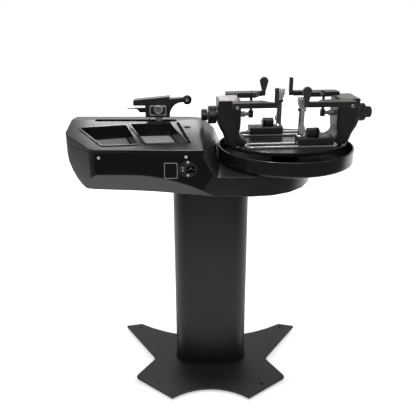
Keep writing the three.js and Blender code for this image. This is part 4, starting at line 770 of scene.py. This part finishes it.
roller_x, roller_z, fork_half = 0.09, 0.052, 0.0139
roller = spun([(0.0047, -0.0073), (0.0128, -0.0073), (0.014, -0.0062), (0.014, -0.003), (0.0118, 0),
               (0.014, 0.003), (0.014, 0.0062), (0.0128, 0.0073), (0.0047, 0.0073),
               (0.0047, -0.0073)])
set_at(roller, (roller_x, 0, roller_z), (0, -1, 0), head)
stand_in("nose_roller", roller, [rim_black], sharp=30)
for side, way in (("near", -1), ("far", 1)):
    turned(f"roller_pin_{side}",
           [(0, 0.0014), (0.003, 0.0013), (0.0042, 0.0006), (0.0044, 0.0), (0.0044, -0.0006),
            (0, -0.0006)],
           (roller_x, way * fork_half, roller_z), (0, way, 0), head, bright, "tensioner",
           steps=32)

# Release lever. A black painted aluminium lever on a cross pin in the head's outer end. The top of
# its thin blade is bright.
blade_x, blade_deep = -0.2545, 0.0042
lever_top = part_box("release_lever")[1].z
softened("release_lever", casting_black, radius=0.0006, second=bright,
         where=lambda place: place.x < blade_x and place.z > lever_top - blade_deep)

# Turntable bowl. A round glossy black moulding with a rounded lip and a dull inside, fixed on the
# housing, and the dark steel bearing in its middle. The inside's darker colour is painted shade under
# the table plate.
shell_gloss = finish("shell_gloss", grey(0.009), grey(0.013), 0.19, spread=0.02, relief=0.01,
                     dust=0.02)
table_place, table_turned = (0.20581, 0.012, 0.78), 5
table = Matrix.Translation(table_place) @ Matrix.Rotation(math.radians(table_turned), 4, "Z")
rim_reach, rim_height, rim_round, inside_reach, inside_from = 0.2141, 0.0451, 0.0029, 0.2122, 0.002
bowl_lip = [(rim_reach + rim_round * math.cos(turn), rim_height + rim_round * math.sin(turn))
            for turn in (math.pi * step / 8 for step in range(9))]
bowl = spun([(0.0426, 0.0003), (0.2105, 0.0003), (0.2135, 0.0009), (0.2158, 0.0026), (0.2168, 0.0052),
             (0.217, 0.0095), *bowl_lip, (0.2112, 0.0072), (0.2098, 0.0048), (0.2075, 0.004),
             (0.0426, 0.004), (0.0426, 0.0003)], steps=160)
for face in bowl.faces:
    spot_on_bowl = face.calc_center_median()
    face.material_index = int(spot_on_bowl.xy.length < inside_reach and spot_on_bowl.z > inside_from)
set_at(bowl, table_place)
# The inside is dull, and its darker colour is painted shade under the table plate.
bowl_inside_painted_shade = finish("bowl_inside_painted_shade", grey(0.004), grey(0.006), 0.5, spread=0.08, specular=0.15, dust=0.03)
stand_in("turntable_bowl", bowl, [shell_gloss, bowl_inside_painted_shade])
bearing_steel = finish("bearing_steel", grey(0.05), grey(0.08), 0.35, metallic=1.0, relief=0.05)
give("spindle_bearing", bearing_steel)

# Turning table. An oval plate, cast and painted black, that four screws hold on the spindle's flange,
# and two bright steel loop rails for the clamps.
table_black = finish("table_black", grey(0.008), grey(0.013), 0.26, grain=1300.0, relief=0.12,
                     dust=0.04)
softened("table_plate", table_black, radius=0.0006)
table_top = 0.06
for index, (x, y) in enumerate(((-0.165, -0.072), (0.165, -0.072), (-0.165, 0.072), (0.165, 0.072))):
    screw(f"table_screw_{index + 1}", (x, y, table_top), (0, 0, 1), 0.0036, "table", bright,
          frame_matrix=table)
rail_bright = finish("rail_bright", grey(0.74), grey(0.84), 0.24, spread=0.03, grain=1400.0, relief=0.02,
                     metallic=0.65)
for rail in ("glide_rail_near", "glide_rail_far"):
    softened(rail, rail_bright, radius=0.0009, steps=3)

# Towers. Waisted castings in satin black with broadly rounded edges, each with a brushed metal cap
# plate, a large knurled knob for its arms and a small one for its support. The two caps are alike: the
# left one's light tone is painted reflection and the right one's dark tone is painted shade.
tower_outline = [(0.131, 0.0003, 0.002), (0.194, 0.0003, 0), (0.202, 0.026, 0.009),
                 (0.222, 0.060, 0.015), (0.222, 0.135, 0.002), (0.151, 0.135, 0.002),
                 (0.151, 0.060, 0.012), (0.157, 0.026, 0.012), (0.131, 0.0105, 0.004)]
tower_depth, tower_round = 0.095, 0.012
# The two caps are alike. The left one's light tone is painted reflection, the right one's dark tone
# painted shade.
left_cap_painted_reflection = finish("cap_left_painted_reflection", (0.44, 0.41, 0.405), (0.52, 0.485, 0.48), 0.36, relief=0.1,
                       stretch=(0.04, 1.0, 1.0), metallic=1.0)
right_cap_painted_shade = finish("cap_right_painted_shade", (0.1, 0.1, 0.085), (0.15, 0.15, 0.12), 0.36, relief=0.1,
                        stretch=(0.04, 1.0, 1.0), metallic=1.0)
knob_black = finish("knob_black", grey(0.01), grey(0.016), 0.42, spread=0.08, grain=1200.0, relief=0.3)
trim_silver = finish("trim_silver", grey(0.5), grey(0.62), 0.3, spread=0.05, grain=1500.0,
                     relief=0.08, stretch=(0.05, 1.0, 1.0), metallic=0.7)


def tower_shape():
    """The waisted side outline with its corners rounded, thickened, and its rim rounded over."""
    shape = bmesh.new()
    corners = [shape.verts.new((x, 0, table_top + z)) for x, z, _ in tower_outline]
    shape.faces.new(corners)
    for vert, (_, _, reach) in zip(corners, tower_outline):
        if reach:
            bmesh.ops.bevel(shape, geom=[vert], offset=reach, affect="VERTICES", segments=6,
                            profile=0.5, material=-1, clamp_overlap=False)
    thickened(shape, (0, tower_depth, 0))
    bmesh.ops.translate(shape, vec=(0, -tower_depth / 2, 0), verts=shape.verts)
    sole, toe, crown, toe_end_x = table_top + 0.001, table_top + 0.004, table_top + 0.1335, 0.18

    def on_rim(edge):
        """The two outlines, but for the cap's and the sole's edges and the thin toe."""
        low, high = sorted((vert.co for vert in edge.verts), key=lambda end: end.z)
        crosses = abs(low.y - high.y) > 0.5 * tower_depth
        beyond_toe = low.z > toe or low.x > toe_end_x
        return high.z > sole and not crosses and low.z < crown and beyond_toe

    rounded(shape, tower_round, steps=5, sharp=60, chosen=on_rim)
    bmesh.ops.triangulate(shape, faces=[face for face in shape.faces if len(face.verts) > 4],
                          ngon_method="EAR_CLIP")
    return shape


knob_height, cap_screw_x, cap_top = 0.147, 0.1865, 0.1983
arm_knob_x, support_knob_x, washer_x, boss_x, bush_x = 0.225, 0.253, 0.2503, 0.2222, 0.151
for side, turn, cap_painted_tone in (("left", math.pi, left_cap_painted_reflection), ("right", 0.0, right_cap_painted_shade)):
    here = table @ Matrix.Rotation(turn, 4, "Z")
    casting = tower_shape()
    casting.transform(here)
    stand_in(f"tower_{side}", casting, [casting_black], sharp=40)
    # Each cap gets its side's tone: painted reflection on the left, painted shade on the right.
    softened(f"tower_cap_{side}", cap_painted_tone, radius=0.0007, steps=3)
    for end, y in (("a", -0.036), ("b", 0.036)):
        screw(f"cap_screw_{side}_{end}", (cap_screw_x, y, cap_top), (0, 0, 1), 0.0032, "table", bright,
              rise=0.0012, frame_matrix=here)
    big = knurled([(0.0105, 0), (0.0262, 0), (0.028, 0.0018), (0.028, 0.0232), (0.0262, 0.025),
                   (0.02, 0.025), (0.019, 0.0242), (0.0105, 0.0242), (0.0105, 0)],
                  count=52, depth=0.0009, inner=0.0264)
    set_at(big, (arm_knob_x, 0, knob_height), (1, 0, 0), here)
    stand_in(f"arm_knob_{side}", big, [knob_black], sharp=25)
    small = knurled([(0, 0.0182), (0.0055, 0.0182), (0.006, 0.0172), (0.0135, 0.0172), (0.0142, 0.018),
                     (0.0158, 0.018), (0.018, 0.016), (0.018, 0.0018), (0.0162, 0), (0.01, 0),
                     (0.01, -0.0765), (0.0064, -0.0765), (0.0064, 0.001), (0, 0.001)],
                    count=32, depth=0.0009, inner=0.0165)
    set_at(small, (support_knob_x, 0, knob_height), (1, 0, 0), here)
    stand_in(f"support_knob_{side}", small, [knob_black], sharp=25)
    turned(f"knob_washer_{side}",
           [(0.0104, 0), (0.0155, 0), (0.016, 0.0005), (0.016, 0.0019), (0.0155, 0.0024),
            (0.0104, 0.0024), (0.0104, 0)],
           (washer_x, 0, knob_height), (1, 0, 0), here, bright, f"{side}_support_knob")
    turned(f"knob_boss_{side}",
           [(0.0104, 0), (0.0145, 0), (0.0145, 0.002), (0.014, 0.0025), (0.0104, 0.0025), (0.0104, 0)],
           (boss_x, 0, knob_height), (1, 0, 0), here, bright, "table")
    turned(f"rod_bush_{side}",
           [(0.0063, 0), (0.0085, 0), (0.009, 0.0005), (0.009, 0.0155), (0.0088, 0.0175),
            (0.0063, 0.0175), (0.0063, 0)],
           (bush_x, 0, knob_height), (-1, 0, 0), here, trim_silver, "table")

# Supports at the racket's two ends, each a bright rod from the tower with a black post and a cradle
# block, and the cast side arms with moulded rubber fingers, each finger held by a screw.
finger_rubber = finish("finger_rubber", grey(0.022), grey(0.034), 0.62, spread=0.08, grain=1100.0,
                       relief=0.35)
rod_half, rod_from_x = 0.0066, 0.1222
arm_screw_x, arm_screw_y, arm_screw_z = 0.173, 0.11, 0.188


def on_rod(place):
    """Whether a place lies on a support's bright rod."""
    near = table.inverted() @ place
    return max(abs(near.z - knob_height), abs(near.y)) < rod_half and abs(near.x) > rod_from_x


for support in ("throat_support", "head_support"):
    softened(support, casting_black, radius=0.0007, second=trim_silver, where=on_rod)
for side, x in (("left", -1), ("right", 1)):
    for edge, y in (("near", -1), ("far", 1)):
        softened(f"arm_{edge}_{side}", casting_black, radius=0.0018, steps=3)
        softened(f"finger_{edge}_{side}", finger_rubber, radius=0.0022, steps=3)
        screw(f"arm_screw_{edge}_{side}", (x * arm_screw_x, y * arm_screw_y, arm_screw_z), (0, y, 0),
              0.0052, f"{edge}_{side}_arm", bright, rise=0.002, frame_matrix=table)

# String clamps. Black cast bases that slide on the rails, each with a round lock body with a light
# ring, a steel post that ends in toothed jaws, and a pressed steel lever on a cross pin.
disc_green = finish("disc_green", (0.13, 0.135, 0.055), (0.17, 0.175, 0.075), 0.45, relief=0.1)
lock_height, base_top, foot_gap, collar_z, jaw_foot = 0.1026, 0.0906, 0.0004, 0.1695, 0.9575
ring_x, band_x, disc_x, pivot_y, pivot_z = 0.055, 0.046, 0.082, -0.0137, 0.172
dark_rings = ((0.0035, 0.0045), (0.0068, 0.0078))
spoon_rings = ((-0.0116, 0.1785, 0.0035, 0.0012), (-0.0116, 0.1765, 0.0058, 0.0021),
               (-0.0117, 0.172, 0.0066, 0.0024), (-0.0117, 0.164, 0.0059, 0.0023),
               (-0.0118, 0.152, 0.005, 0.0022), (-0.012, 0.141, 0.0048, 0.0022),
               (-0.0126, 0.131, 0.0062, 0.0021), (-0.0136, 0.1225, 0.0088, 0.002),
               (-0.0147, 0.115, 0.0106, 0.0019), (-0.0156, 0.109, 0.0104, 0.0018),
               (-0.0162, 0.1042, 0.0078, 0.0016), (-0.0165, 0.1018, 0.004, 0.0011))
post_steel = finish("post_steel", grey(0.3), grey(0.42), 0.2, spread=0.05, relief=0.06,
                    stretch=(1.0, 1.0, 0.04), metallic=0.9)
for place, along, row, turn in (("rear", -0.008, 0.077, math.pi), ("front", 0.028, -0.077, 0.0)):
    here = table @ Matrix.Translation((along, row, 0)) @ Matrix.Rotation(turn, 4, "Z")
    softened(f"clamp_base_{place}", casting_black, radius=0.0012, steps=3)
    softened(f"clamp_post_{place}", post_steel, radius=0.0006, second=bright,
             where=lambda spot: spot.z > jaw_foot)
    turned(f"lock_ring_{place}",
           [(0.0095, 0.0), (0.0138, 0.0), (0.0138, 0.0008), (0.0132, 0.0014), (0.0101, 0.0014),
            (0.0095, 0.0008), (0.0095, 0.0)],
           (ring_x, 0, lock_height), (1, 0, 0), here, trim_silver, f"{place}_clamp_base")
    turned(f"lock_band_{place}",
           [(0.0151, 0), (0.0154, 0.0004), (0.0154, 0.0056), (0.0151, 0.006), (0.0144, 0.006),
            (0.0144, 0), (0.0151, 0)],
           (band_x, 0, lock_height), (1, 0, 0), here, rim_black, f"{place}_clamp_base")
    disc = spun([(0, 0.0006), *((reach, 0.0006) for ring in dark_rings for reach in ring),
                 (0.0102, 0.0006), (0.011, 0.0003), (0.011, -0.0003), (0, -0.0003)], steps=48)
    for face in disc.faces:
        reach = face.calc_center_median().xy.length
        ringed = any(start < reach < end for start, end in dark_rings)
        face.material_index = int(ringed or place == "rear")
    set_at(disc, (disc_x, 0, base_top), (0, 0, 1), here)
    finished(f"clamp_disc_{place}", disc, [disc_green, socket_plastic], f"{place}_clamp_base")
    turned(f"post_collar_{place}",
           [(0.0092, 0), (0.0122, 0), (0.0128, 0.0006), (0.0128, 0.0064), (0.0122, 0.007),
            (0.0092, 0.007), (0.0092, 0)],
           (0, 0, collar_z), (0, 0, 1), here, knob_black, f"{place}_clamp_post",
           steps=40)
    turned(f"post_foot_{place}",
           [(0.0092, 0), (0.0135, 0), (0.0135, 0.003), (0.0125, 0.004), (0.0092, 0.004), (0.0092, 0)],
           (0, 0, base_top + foot_gap), (0, 0, 1), here, bright, f"{place}_clamp_post",
           steps=40)
    spoon = lofted([(20, (0, y, z), across, deep) for y, z, across, deep in spoon_rings])
    pivot = spun([(0, 0.0026), (0.0026, 0.0025), (0.0034, 0.0017), (0.0034, -0.004), (0, -0.004)],
                 steps=24)
    set_at(pivot, (0, pivot_y, pivot_z), (0, -1, 0))
    merged(spoon, pivot)
    spoon.transform(here)
    stand_in(f"clamp_lever_{place}", spoon, [bright])
